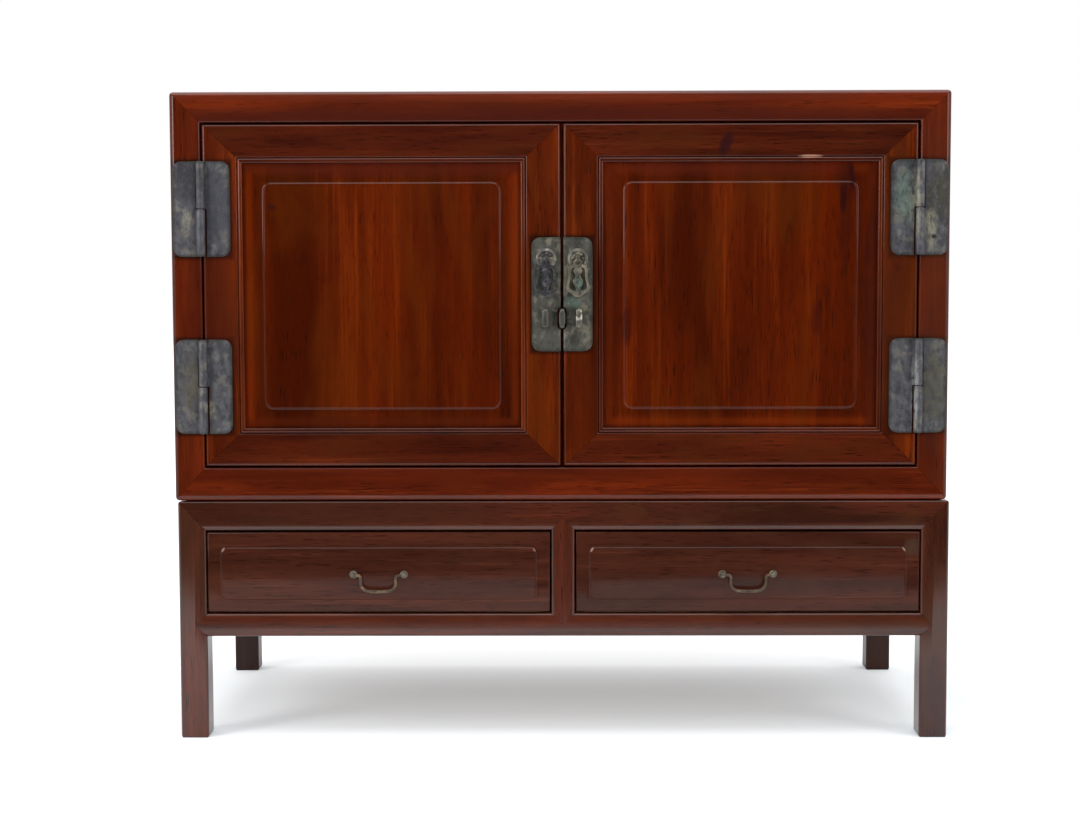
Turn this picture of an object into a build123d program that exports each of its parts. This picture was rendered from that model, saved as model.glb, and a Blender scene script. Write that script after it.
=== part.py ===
"""A two-door kang cabinet that stands loose on a low stand with two drawers.

Millimetres, +Z up, the front faces -Y. The origin is on the floor under the middle of the whole.
The cabinet and the stand are each built about X = 0 and moved apart sideways when they are written.
"""
from build123d import *
import os

os.makedirs("parts", exist_ok=True)

# ------------------------------------------------------------------ driving dimensions, the whole
width = 1060.0               # across the cabinet, and across the stand
depth = 476.0                # front face to back face, without the metalwork
stand_height = 330.0
cabinet_height = 558.0
cabinet_shift = -3.4         # how far the loose cabinet stands off the stand's middle
end_play = 0.4               # air around what slides along wood

# ------------------------------------------------------------------ cabinet frame
post_width = 42.0
post_depth = 42.0
cabinet_top_rail = 42.0      # heights of the rails
cabinet_bottom_rail = 46.0
cabinet_arris = 6.0          # rounding of the outer arrises
sight_arris = 3.5            # rounding of the arrises around an opening
tenon = 12.0
tenon_cover = 12.0           # wood left between a hidden tenon and the faces
housing = 8.0                # how far bearers, battens and muntins are let into a frame

# ------------------------------------------------------------------ floating panels
board = 9.0
floor_board = 12.0
groove = 7.0
panel_play = 1.0             # room for a panel to swell in its grooves
side_recess = 6.0            # side and back panels lie this far behind the frame's face
floor_recess = 6.0
top_lip = 6.0                # thickness of the top panel's edge, in its groove
top_joint = 0.8              # fine line around the flush top panel

# ------------------------------------------------------------------ inside the cabinet
batten_width = 34.0
batten_height = 20.0
muntin_width = 46.0
muntin_depth = 26.0
centre_stile_width = 34.0
shelf_height = 236.0         # underside of the shelf above the bottom rails
shelf_board = 15.0
bearer_width = 30.0
bearer_height = 24.0

# ------------------------------------------------------------------ doors
door_thickness = 26.0
door_gap = 2.2
meeting_gap = 4.0
meeting_offset = 2.7         # the line between the doors stands this far right of the middle
door_stile = 54.5            # with the bead
door_rail = 52.5             # with the bead
bead = 7.0
bead_arris = 3.2
door_tenon = 8.4             # thickness of the tenons behind the mitres
door_arris = 4.0
panel_set_back = 5.5         # panel border behind the door's face
field_rise = 2.5             # raised field above the border
field_border = 24.0
field_corner = 12.0
field_arris = 1.2
door_batten = 28.0
door_batten_inset = 52.0     # from a rail's bead to the batten's middle
dovetail = 3.0               # depth of the battens' tails in the panels
dovetail_width = 16.0

# ------------------------------------------------------------------ stand
leg_width = 38.5
leg_depth = 38.5
stand_top_rail = 40.5
lower_rail = 32.5
drawer_opening = 115.5
centre_post = 33.0
shoulder_depth = 12.0        # thickness of the pointed shoulders
post_tenon = 19.0            # length of the centre post's tenons
stand_arris = 4.0
foot_flare = 1.0             # the feet grow inwards by this much
foot_flare_height = 50.0
foot_chamfer = 2.5
foot_chamfer_height = 4.0
runner_width = 15.0
runner_height = 14.0
guide_height = 40.0

# ------------------------------------------------------------------ drawers
drawer_side_gap = 1.5
drawer_top_gap = 3.0
drawer_bottom_gap = 2.0
drawer_front = 20.0
drawer_set_back = 1.0
drawer_length = 420.0
drawer_wall = 10.0
drawer_wall_height = 92.0
drawer_bottom = 6.0
drawer_bottom_lift = 8.0
drawer_field_side = 18.5     # border around the raised field
drawer_field_top = 20.0
drawer_field_bottom = 17.0
drawer_field_rise = 2.0
drawer_field_corner = 10.0

# ------------------------------------------------------------------ metalwork
sheet = 2.0                  # thickness of the plates
hinge_leaf = 39.0            # from the pin's axis to the leaf's edge
hinge_height = 129.0
hinge_inset_top = 50.0       # from the door's edges to the hinges
hinge_inset_bottom = 45.0
barrel_radius = 6.0
barrel_clearance = 1.0       # around the other leaf's knuckle
knuckle_gap = 0.6
pin_radius = 3.0
running_fit = 0.06
plate_corner = 12.5
lock_plate_width = 39.5
lock_plate_height = 155.0
lock_plate_lift = 157.0      # lower edge of the lock plate above the door's lower edge
lock_line = 202.0            # middle of the staples above the door's lower edge
lock_notch_width = 12.5
lock_notch_height = 31.0
staple_offset = 23.0         # of the side staples from the line between the doors
staple_height = 26.5
staple_width = 8.5
staple_bar = 3.5
staple_reach = 13.0          # in front of the plates
staple_bend = 5.0
staple_leg = 18.0            # length in the wood
pull_offset = 21.5           # of the pendants from the line between the doors
pull_line = 283.0            # eye above the door's lower edge
rosette_radius = 14.0
rosette_rim = 1.6
rosette_boss_radius = 10.0
rosette_height = 3.6
eye_radius = 5.6             # centre line of the cotter's eye
eye_wire = 1.3
eye_stand = 4.5              # from the rosette to the middle of the eye
cotter_tail_length = 14.0
cotter_tail_width = 3.0
cotter_tail = 1.2            # thickness of the clenched ends
pendant_thickness = 3.0
pendant_slack = 0.6          # play of the lug on the eye
pendant_bar = 2.4            # bar of the lug, inside the eye
pendant_lug = 11.0
pendant_rim = 3.4
pendant_shoulder = 12.0      # half widths
pendant_waist = 13.4
pendant_hip = 15.6
pendant_neck = 2.4
pendant_belly = 6.5
pendant_drop = 44.0          # from the lug's hole to the tip
pendant_levels = (0.12, 0.5, 0.7, 0.87)    # shoulder, waist, hip and foot, as parts of the drop
bail_centres = 70.0
bail_lift = 52.0             # posts above the drawer front's lower edge
bail_span = 48.0             # between the bail's straight sides
bail_drop = 22.0
bail_wire = 1.8
bail_bend = 8.5
bail_shoulder = 4.0
bail_pin = 1.5
ball_radius = 4.0
bail_stand = 8.0             # from the drawer front to the balls' middle
neck_radius = 2.0
escutcheon_radius = 5.5
escutcheon = 1.2
washer_radius = 6.0
washer = 1.5

# ------------------------------------------------------------------ worked out
reach = sheet + rosette_height + eye_stand + eye_radius + eye_wire
front = reach / 2 - depth / 2
back = front + depth
edge = width / 2
cabinet_x = cabinet_shift / 2
stand_x = -cabinet_shift / 2

LEFT, RIGHT = Vector(-1, 0, 0), Vector(1, 0, 0)
FRONT, BACK = Vector(0, -1, 0), Vector(0, 1, 0)
DOWN, UP = Vector(0, 0, -1), Vector(0, 0, 1)
ACROSS, DEEP, TALL = 0, 1, 2
SIDES = {-1: "left", 1: "right"}

parts = {}


# ------------------------------------------------------------------ helpers
def span(one, other):
    """A range from the lower to the higher of two values."""
    return (min(one, other), max(one, other))


def grown(limits, amount):
    """A range made longer by the same amount at both ends."""
    return (limits[0] - amount, limits[1] + amount)


def middle(limits, length):
    """A range of the given length around the middle of another."""
    centre = (limits[0] + limits[1]) / 2
    return (centre - length / 2, centre + length / 2)


def block(x, y, z):
    """A rectangular solid that fills three ranges."""
    size = [high - low for low, high in (x, y, z)]
    centre = [(high + low) / 2 for low, high in (x, y, z)]
    return Pos(*centre) * Box(*size)


def eased(bar, along, corners, radius):
    """Rounds the long edges at the named corners of a bar's section."""
    edges = bar.edges().filter_by(along)
    picked = [edges.sort_by(Axis((0, 0, 0), corner))[-1] for corner in corners]
    return fillet(picked, radius)


def from_front(outline, y):
    """A solid that has a face on the XZ plane as its front view and fills the range y."""
    placed = Plane((0, y[0], 0), x_dir=(1, 0, 0), z_dir=(0, -1, 0)) * outline
    return extrude(placed, y[1] - y[0], dir=(0, 1, 0))


def from_side(outline, x):
    """A solid that has a face on the YZ plane as its side view and fills the range x."""
    placed = Plane((x[0], 0, 0), x_dir=(0, 1, 0), z_dir=(1, 0, 0)) * outline
    return extrude(placed, x[1] - x[0], dir=(1, 0, 0))


def polygon(*points):
    return make_face(Polyline(*points, close=True))


def rod(start, end, radius):
    """A round bar between two points."""
    start, end = Vector(*start), Vector(*end)
    plane = Plane(start, z_dir=end - start)
    return extrude(plane * Circle(radius), (end - start).length, dir=plane.z_dir)


def mitred(bar, corners, own, others):
    """Cuts the ends of a bar along the planes halfway to the bars that it meets at each corner."""
    for point, size, inward in corners:
        for other in others:
            normal = [0.0, 0.0, 0.0]
            normal[own] = inward[own] / size[own]
            normal[other] = -inward[other] / size[other]
            bar = split(bar, bisect_by=Plane(point, z_dir=normal), keep=Keep.TOP)
    return bar


def frame_corner(x_side, y_side, z, z_inward, size):
    """A corner of a three-way mitred frame: its point, its bars' sizes and the way inwards."""
    point = (x_side * edge, front if y_side < 0 else back, z)
    return (point, size, (-x_side, -y_side, z_inward))


def corner_tenon(corner):
    """The hidden square tenon that a post holds in the mitred corner above or below it."""
    point, size, inward = corner
    ranges = []
    for axis, (start, end) in enumerate([(tenon_cover, tenon_cover + tenon)] * 2
                                        + [(tenon_cover, size[TALL] + tenon)]):
        ranges.append(span(point[axis] + inward[axis] * start, point[axis] + inward[axis] * end))
    return block(*ranges)


def add(name, *solids, x=0.0):
    """Keeps one piece, or a group of like pieces, as a node."""
    moved = [Pos(x, 0, 0) * solid for solid in solids]
    parts[name] = moved[0] if len(moved) == 1 else Compound(moved)


# ------------------------------------------------------------------ stand
leg_inner = edge - leg_width
stand_front_y = (front, front + leg_depth)
stand_back_y = (back - leg_depth, back)
stand_inner_y = (stand_front_y[1], stand_back_y[0])
opening_top = stand_height - stand_top_rail
opening_bottom = opening_top - drawer_opening
lower_z = (opening_bottom - lower_rail, opening_bottom)
top_z = (opening_top, stand_height)
opening_z = (opening_bottom, opening_top)
post_x = (-centre_post / 2, centre_post / 2)
shoulder_y = (front, front + shoulder_depth)
tenon_y = (front + shoulder_depth, front + shoulder_depth + tenon)


def foot_outline(outer, inner):
    """A leg seen square on: outer and inner are its edges, the foot grows past the inner one."""
    inward = 1 if inner > outer else -1
    flared = inner + inward * foot_flare
    return polygon((outer, 0), (outer, stand_height), (inner, stand_height), (inner, lower_z[0]),
                   (flared, foot_flare_height), (flared, foot_chamfer_height),
                   (flared - inward * foot_chamfer, 0))


def leg(x_side, y_side):
    outer_y, inner_y = (front, stand_front_y[1]) if y_side < 0 else (back, stand_back_y[0])
    across = from_front(foot_outline(x_side * edge, x_side * leg_inner), (front, back))
    deep = from_side(foot_outline(outer_y, inner_y), (-edge, edge))
    solid = across & deep
    outer = solid.edges().filter_by(Axis.Z).sort_by(Axis((0, 0, 0), (x_side, y_side, 0)))[-1]
    solid = fillet(outer, stand_arris)
    return mitred(solid, [stand_corner(x_side, y_side)], TALL, (ACROSS, DEEP))


def stand_corner(x_side, y_side):
    size = (leg_width, leg_depth, stand_top_rail)
    return frame_corner(x_side, y_side, stand_height, -1, size)


def pointed(x, z, x_point=None, z_point=None):
    """The pointed shoulder of a bar end: a triangle that runs on to x_point or z_point."""
    if x_point is not None:
        tip = (x_point, (z[0] + z[1]) / 2)
        return from_front(polygon((x, z[0]), tip, (x, z[1])), shoulder_y)
    tip = ((x[0] + x[1]) / 2, z_point)
    return from_front(polygon((x[0], z), tip, (x[1], z)), shoulder_y)


legs = {(x, y): leg(x, y) for x in (-1, 1) for y in (-1, 1)}
stand_corners = {key: stand_corner(*key) for key in legs}
stand_tenons = {key: corner_tenon(corner) for key, corner in stand_corners.items()}
for key, box in stand_tenons.items():
    legs[key] = legs[key] + box

stand_top = {}
for y_side, y_range in ((-1, stand_front_y), (1, stand_back_y)):
    rail = block((-edge, edge), y_range, top_z)
    outward = FRONT if y_side < 0 else BACK
    rail = eased(rail, Axis.X, [outward + UP, outward + DOWN], stand_arris)
    ends = [(-1, y_side), (1, y_side)]
    rail = mitred(rail, [stand_corners[end] for end in ends], ACROSS, (DEEP, TALL))
    for end in ends:
        rail = rail - stand_tenons[end]
    stand_top[y_side] = rail

stand_side_top = {}
for x_side in SIDES:
    rail = block(span(x_side * edge, x_side * leg_inner), (front, back), top_z)
    outward = LEFT if x_side < 0 else RIGHT
    rail = eased(rail, Axis.Y, [outward + UP, outward + DOWN], stand_arris)
    ends = [(x_side, -1), (x_side, 1)]
    rail = mitred(rail, [stand_corners[end] for end in ends], DEEP, (ACROSS, TALL))
    for end in ends:
        rail = rail - stand_tenons[end]
    stand_side_top[x_side] = rail

# The front lower rail has pointed shoulders in the legs, and the centre post has them in both rails.
lower_front = block((-leg_inner, leg_inner), stand_front_y, lower_z)
lower_front = eased(lower_front, Axis.X, [FRONT + UP, FRONT + DOWN], stand_arris)
lower_back = block((-leg_inner, leg_inner), stand_back_y, lower_z)
lower_back = eased(lower_back, Axis.X, [BACK + UP, BACK + DOWN], stand_arris)
rail_tenon_z = grown(lower_z, -lower_rail / 4)
for x_side in SIDES:
    tenon_x = span(x_side * leg_inner, x_side * (edge - tenon_cover))
    shoulder = pointed(x_side * leg_inner, lower_z, x_point=x_side * (leg_inner + lower_rail / 2))
    end_tenon = block(tenon_x, tenon_y, rail_tenon_z)
    lower_front = lower_front + shoulder + end_tenon
    legs[(x_side, -1)] = legs[(x_side, -1)] - shoulder - end_tenon
    rear_tenon = block(tenon_x, middle(stand_back_y, tenon), rail_tenon_z)
    lower_back = lower_back + rear_tenon
    legs[(x_side, 1)] = legs[(x_side, 1)] - rear_tenon

post = block(post_x, stand_front_y, opening_z)
post = eased(post, Axis.Z, [FRONT + LEFT, FRONT + RIGHT], stand_arris)
for z, way in ((opening_bottom, -1), (opening_top, 1)):
    shoulder = pointed(post_x, z, z_point=z + way * centre_post / 2)
    end_tenon = block(middle(post_x, tenon), tenon_y, span(z, z + way * post_tenon))
    post = post + shoulder + end_tenon
    if way < 0:
        lower_front = lower_front - shoulder - end_tenon
    else:
        stand_top[-1] = stand_top[-1] - shoulder - end_tenon

stand_side_low = {}
for x_side in SIDES:
    x_range = span(x_side * edge, x_side * leg_inner)
    rail = block(x_range, stand_inner_y, lower_z)
    outward = LEFT if x_side < 0 else RIGHT
    rail = eased(rail, Axis.Y, [outward + UP, outward + DOWN], stand_arris)
    for y_side, y in ((-1, stand_inner_y[0]), (1, stand_inner_y[1])):
        deep_end = y + y_side * tenon_cover / 2
        end_tenon = block(middle(x_range, tenon), span(y, deep_end), rail_tenon_z)
        rail = rail + end_tenon
        legs[(x_side, y_side)] = legs[(x_side, y_side)] - end_tenon
    stand_side_low[x_side] = rail

# End panels and back panel, loose in grooves.
end_panels = []
for x_side in SIDES:
    x_range = span(x_side * (edge - side_recess), x_side * (edge - side_recess - board))
    cut = block(x_range, grown(stand_inner_y, groove), grown(opening_z, groove))
    end_panels.append(block(x_range, grown(stand_inner_y, groove - panel_play),
                            grown(opening_z, groove)))
    stand_side_top[x_side] = stand_side_top[x_side] - cut
    stand_side_low[x_side] = stand_side_low[x_side] - cut
    for y_side in (-1, 1):
        legs[(x_side, y_side)] = legs[(x_side, y_side)] - cut
back_board_y = (back - side_recess - board, back - side_recess)
cut = block((-leg_inner - groove, leg_inner + groove), back_board_y, grown(opening_z, groove))
stand_back = block(grown((-leg_inner, leg_inner), groove - panel_play), back_board_y,
                   grown(opening_z, groove))
stand_top[1] = stand_top[1] - cut
lower_back = lower_back - cut
for x_side in SIDES:
    legs[(x_side, 1)] = legs[(x_side, 1)] - cut

# Cross rail between the top rails, centre runner with its guide, side runners and kickers.
inner_range = (post_x[0] - runner_width, post_x[1] + runner_width)
cross_rail = block(inner_range, grown(stand_inner_y, housing),
                   (opening_top, opening_top + runner_height))
for y_side in (-1, 1):
    stand_top[y_side] = stand_top[y_side] - cross_rail
runner_z = (opening_bottom - runner_height, opening_bottom)
divider = block(inner_range, grown(stand_inner_y, housing), runner_z)
lower_front = lower_front - divider
lower_back = lower_back - divider
divider = divider + block(post_x, stand_inner_y, (opening_bottom, opening_bottom + guide_height))
strips = []
for x_side in SIDES:
    x_range = span(x_side * leg_inner, x_side * (leg_inner - runner_width))
    strips.append(block(x_range, stand_inner_y, runner_z))
    strips.append(block(x_range, stand_inner_y, (opening_top, opening_top + runner_height)))

add("stand_front_legs", legs[(-1, -1)], legs[(1, -1)], x=stand_x)
add("stand_rear_legs", legs[(-1, 1)], legs[(1, 1)], x=stand_x)
add("stand_top_rail", stand_top[-1], x=stand_x)
add("stand_lower_rail", lower_front, x=stand_x)
add("stand_rear_rails", stand_top[1], lower_back, x=stand_x)
add("stand_side_rails", *stand_side_top.values(), *stand_side_low.values(), x=stand_x)
add("stand_centre_post", post, x=stand_x)
add("stand_end_panels", *end_panels, x=stand_x)
add("stand_back_panel", stand_back, x=stand_x)
add("drawer_divider", divider, x=stand_x)
add("drawer_runners", *strips, cross_rail, x=stand_x)


# ------------------------------------------------------------------ drawers
def bail_post(x, z, face, inside):
    """A ball-headed post through the drawer front, clenched over a washer inside."""
    ball_y = face - bail_stand
    head = Pos(x, ball_y, z) * Sphere(ball_radius)
    shank = rod((x, ball_y, z), (x, inside + 2 * washer, z), neck_radius)
    plate = rod((x, face - escutcheon, z), (x, face, z), escutcheon_radius)
    nut = rod((x, inside, z), (x, inside + washer, z), washer_radius)
    hole = rod((x - 2 * ball_radius, ball_y, z), (x + 2 * ball_radius, ball_y, z),
               bail_pin + running_fit)
    return (head + shank + plate + nut) - hole


def bail(x, y, z):
    """A wire handle: pins in both balls, short shoulders, straight sides and a straight grip."""
    start = bail_centres / 2 - ball_radius - end_play
    side = bail_span / 2
    points = [(-start, 0), (-side, 0), (-side, -bail_drop), (side, -bail_drop), (side, 0), (start, 0)]
    radii = [bail_shoulder, bail_bend, bail_bend, bail_shoulder]
    path = Plane((x, y, z), x_dir=(1, 0, 0), z_dir=(0, -1, 0)) * FilletPolyline(*points, radius=radii)
    wire = sweep(Plane((x - start, y, z), z_dir=(1, 0, 0)) * Circle(bail_wire), path=path)
    for way in (-1, 1):
        tip = x + way * (bail_centres / 2 + ball_radius)
        wire = wire + rod((x + way * start, y, z), (tip, y, z), bail_pin)
    return wire


drawer_face = front + drawer_set_back
drawer_z = (opening_bottom + drawer_bottom_gap, opening_top - drawer_top_gap)
drawer_back_y = drawer_face + drawer_length
for side, name in SIDES.items():
    near, far = side * (post_x[1] + drawer_side_gap), side * (leg_inner - drawer_side_gap)
    x_range = span(near, far)
    border = drawer_face + drawer_field_rise
    inside = drawer_face + drawer_front
    slab = block(x_range, (border, inside), drawer_z)
    field_x = grown(x_range, -drawer_field_side)
    field_z = (drawer_z[0] + drawer_field_bottom, drawer_z[1] - drawer_field_top)
    field = block(field_x, (drawer_face, border), field_z)
    field = fillet(field.edges().filter_by(Axis.Y), drawer_field_corner)
    field = fillet(field.faces().sort_by(Axis.Y)[0].edges(), field_arris)
    slab = slab + field

    wall_z = (opening_bottom + end_play, opening_bottom + end_play + drawer_wall_height)
    wall_y = (inside - housing, drawer_back_y)
    walls = []
    for x, inward in ((x_range[0], 1), (x_range[1], -1)):
        walls.append(block(span(x, x + inward * drawer_wall), wall_y, wall_z))
    rear_y = (drawer_back_y - 2 * drawer_wall, drawer_back_y - drawer_wall)
    board_x = grown(x_range, -drawer_wall / 2)
    back_board = block(board_x, rear_y, wall_z)
    bottom_z = (wall_z[0] + drawer_bottom_lift, wall_z[0] + drawer_bottom_lift + drawer_bottom)
    bottom_board = block(board_x, (inside - drawer_wall / 2, rear_y[0]), bottom_z)
    walls = [wall - back_board - bottom_board for wall in walls]
    slab = slab - walls[0] - walls[1] - bottom_board

    centre = (near + far) / 2
    post_z = drawer_z[0] + bail_lift
    ball_posts = [bail_post(centre + way * bail_centres / 2, post_z, drawer_face, inside)
                  for way in (-1, 1)]
    for ball_post in ball_posts:
        slab = slab - ball_post
    add(f"{name}_drawer_front", slab, x=stand_x)
    add(f"{name}_drawer_walls", *walls, back_board, x=stand_x)
    add(f"{name}_drawer_bottom", bottom_board, x=stand_x)
    add(f"{name}_bail_posts", *ball_posts, x=stand_x)
    add(f"{name}_bail", bail(centre, drawer_face - bail_stand, post_z), x=stand_x)

# ------------------------------------------------------------------ cabinet frame
cabinet_z = (stand_height, stand_height + cabinet_height)
door_opening_z = (cabinet_z[0] + cabinet_bottom_rail, cabinet_z[1] - cabinet_top_rail)
post_inner = edge - post_width
case_front_y = (front, front + post_depth)
case_back_y = (back - post_depth, back)
case_inner_y = (case_front_y[1], case_back_y[0])
level = {-1: (cabinet_z[0], cabinet_bottom_rail), 1: (cabinet_z[1], cabinet_top_rail)}


def case_corner(x_side, y_side, z_side):
    z, rail_height = level[z_side]
    return frame_corner(x_side, y_side, z, -z_side, (post_width, post_depth, rail_height))


case_corners = {(x, y, z): case_corner(x, y, z) for x in (-1, 1) for y in (-1, 1) for z in (-1, 1)}
case_tenons = {key: corner_tenon(corner) for key, corner in case_corners.items()}

posts = {}
for x_side in (-1, 1):
    for y_side in (-1, 1):
        x_range = span(x_side * edge, x_side * post_inner)
        y_range = case_front_y if y_side < 0 else case_back_y
        bar = block(x_range, y_range, cabinet_z)
        outward = (LEFT if x_side < 0 else RIGHT) + (FRONT if y_side < 0 else BACK)
        bar = eased(bar, Axis.Z, [outward], cabinet_arris)
        if y_side < 0:
            bar = eased(bar, Axis.Z, [(RIGHT if x_side < 0 else LEFT) + FRONT], sight_arris)
        ends = [(x_side, y_side, z_side) for z_side in (-1, 1)]
        bar = mitred(bar, [case_corners[end] for end in ends], TALL, (ACROSS, DEEP))
        for end in ends:
            bar = bar + case_tenons[end]
        posts[(x_side, y_side)] = bar

long_rails = {}
side_rails = {}
for z_side in (-1, 1):
    z, rail_height = level[z_side]
    z_range = span(z, z - z_side * rail_height)
    vertical = UP if z_side > 0 else DOWN
    for y_side, y_range in ((-1, case_front_y), (1, case_back_y)):
        outward = FRONT if y_side < 0 else BACK
        bar = block((-edge, edge), y_range, z_range)
        bar = eased(bar, Axis.X, [outward + vertical], cabinet_arris)
        if y_side < 0:
            bar = eased(bar, Axis.X, [FRONT - vertical], sight_arris)
        ends = [(x_side, y_side, z_side) for x_side in (-1, 1)]
        bar = mitred(bar, [case_corners[end] for end in ends], ACROSS, (DEEP, TALL))
        for end in ends:
            bar = bar - case_tenons[end]
        long_rails[(y_side, z_side)] = bar
    for x_side in (-1, 1):
        outward = LEFT if x_side < 0 else RIGHT
        bar = block(span(x_side * edge, x_side * post_inner), (front, back), z_range)
        bar = eased(bar, Axis.Y, [outward + vertical], cabinet_arris)
        ends = [(x_side, y_side, z_side) for y_side in (-1, 1)]
        bar = mitred(bar, [case_corners[end] for end in ends], DEEP, (ACROSS, TALL))
        for end in ends:
            bar = bar - case_tenons[end]
        side_rails[(x_side, z_side)] = bar

# ------------------------------------------------------------------ cabinet panels and battens
inner_x = (-post_inner, post_inner)

# The top panel is flush: its full thickness fills the frame, and its lip lies in the grooves.
lip_z = (cabinet_z[1] - floor_board - top_lip, cabinet_z[1] - floor_board)
top_body = block(grown(inner_x, -top_joint), grown(case_inner_y, -top_joint),
                 (lip_z[0], cabinet_z[1]))
top_panel = top_body + block(grown(inner_x, groove - panel_play),
                             grown(case_inner_y, groove - panel_play), lip_z)
top_cut = block(grown(inner_x, groove), grown(case_inner_y, groove), lip_z)

floor_z = (door_opening_z[0] - floor_recess - floor_board, door_opening_z[0] - floor_recess)
floor_panel = block(grown(inner_x, groove - panel_play),
                    grown(case_inner_y, groove - panel_play), floor_z)
floor_cut = block(grown(inner_x, groove), grown(case_inner_y, groove), floor_z)

side_panels = []
for x_side in (-1, 1):
    x_range = span(x_side * (edge - side_recess), x_side * (edge - side_recess - board))
    side_panels.append(block(x_range, grown(case_inner_y, groove - panel_play),
                             grown(door_opening_z, groove)))
    cut = block(x_range, grown(case_inner_y, groove), grown(door_opening_z, groove))
    for y_side in (-1, 1):
        posts[(x_side, y_side)] = posts[(x_side, y_side)] - cut
    for z_side in (-1, 1):
        side_rails[(x_side, z_side)] = side_rails[(x_side, z_side)] - cut

muntin_x = (-muntin_width / 2, muntin_width / 2)
muntin_y = (back - side_recess - muntin_depth, back - side_recess + board / 2)
muntin_bar = block(muntin_x, muntin_y, grown(door_opening_z, housing))
muntin = muntin_bar
back_panel_y = (back - side_recess - board, back - side_recess)
back_panels = []
for x_side in (-1, 1):
    visible = span(x_side * muntin_x[1], x_side * post_inner)
    back_panels.append(block(grown(visible, groove - panel_play), back_panel_y,
                             grown(door_opening_z, groove)))
    muntin = muntin - block(grown(visible, groove), back_panel_y, grown(door_opening_z, groove))
back_cut = block(grown(inner_x, groove), back_panel_y, grown(door_opening_z, groove))

battens = []
for x_side in (-1, 1):
    x_range = middle((0, x_side * edge), batten_width)
    battens.append(block(x_range, grown(case_inner_y, housing), (lip_z[0] - batten_height, lip_z[0])))
    battens.append(block(x_range, grown(case_inner_y, housing),
                         (floor_z[0] - batten_height, floor_z[0])))

stile_y = (front + door_thickness + 2 * end_play, case_front_y[1])
stile_x = middle((meeting_offset, meeting_offset), centre_stile_width)
stile_z = (floor_z[1] + panel_play, door_opening_z[1] + housing)
centre_stile = block(stile_x, stile_y, stile_z)

for y_side in (-1, 1):
    for z_side in (-1, 1):
        bar = long_rails[(y_side, z_side)] - (top_cut if z_side > 0 else floor_cut)
        for batten in battens:
            bar = bar - batten
        bar = bar - (centre_stile if y_side < 0 else back_cut)
        if y_side > 0:
            bar = bar - muntin_bar
        long_rails[(y_side, z_side)] = bar
for x_side in (-1, 1):
    side_rails[(x_side, 1)] = side_rails[(x_side, 1)] - top_cut
    side_rails[(x_side, -1)] = side_rails[(x_side, -1)] - floor_cut
    posts[(x_side, 1)] = posts[(x_side, 1)] - back_cut
    for y_side in (-1, 1):
        posts[(x_side, y_side)] = posts[(x_side, y_side)] - floor_cut - top_cut

# ------------------------------------------------------------------ shelf
shelf_z = (door_opening_z[0] + shelf_height, door_opening_z[0] + shelf_height + shelf_board)
bearers = []
for x_side in (-1, 1):
    bearer = block(middle((x_side * post_inner, x_side * post_inner), bearer_width),
                   grown(case_inner_y, housing), (shelf_z[0] - bearer_height, shelf_z[0]))
    bearers.append(bearer)
    for y_side in (-1, 1):
        posts[(x_side, y_side)] = posts[(x_side, y_side)] - bearer
shelf = block(grown(inner_x, -end_play), (stile_y[1] + end_play, muntin_y[0] - end_play), shelf_z)

# ------------------------------------------------------------------ doors
door_y = (front, front + door_thickness)
door_z = grown(door_opening_z, -door_gap)
door_panel_y = (front + panel_set_back, front + panel_set_back + board)
axis_y = front - barrel_radius
lock_z = door_z[0] + lock_line
pull_z = door_z[0] + pull_line
eye_y = front - sheet - rosette_height - eye_stand
plate_y = (front - sheet, front)


def beaded(along, outer, inner, length):
    """A door frame bar with a rounded bead along its inner edge."""
    line = inner - bead if inner > outer else inner + bead
    pieces = []
    for start, end, radius in ((outer, line, door_arris), (line, inner, bead_arris)):
        across = span(start, end)
        if along == Axis.Z:
            bar = block(across, door_y, length)
            bar = eased(bar, along, [FRONT + LEFT, FRONT + RIGHT], radius)
        else:
            bar = block(length, door_y, across)
            bar = eased(bar, along, [FRONT + UP, FRONT + DOWN], radius)
        pieces.append(bar)
    return pieces[0] + pieces[1]


def plate(x_inner, x_outer, z_range):
    """A sheet plate on the front face with its two outer corners rounded."""
    solid = block(span(x_inner, x_outer), plate_y, z_range)
    corners = solid.edges().filter_by(Axis.Y).group_by(Axis.X)[0 if x_outer < x_inner else -1]
    return fillet(corners, plate_corner)


def staple(x, root_y):
    """A square-shouldered metal loop whose eye is open sideways for a padlock's bar."""
    def bow(inset, bend):
        low_y, half = front - sheet - staple_reach + inset, staple_height / 2 - inset
        outline = polygon((low_y, -half), (root_y, -half), (root_y, half), (low_y, half))
        return fillet(outline.vertices().group_by(Axis.X)[0], bend)

    profile = bow(0, staple_bend) - bow(staple_bar, staple_bend - staple_bar)
    return Pos(0, 0, lock_z) * from_side(profile, middle((x, x), staple_width))


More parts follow.
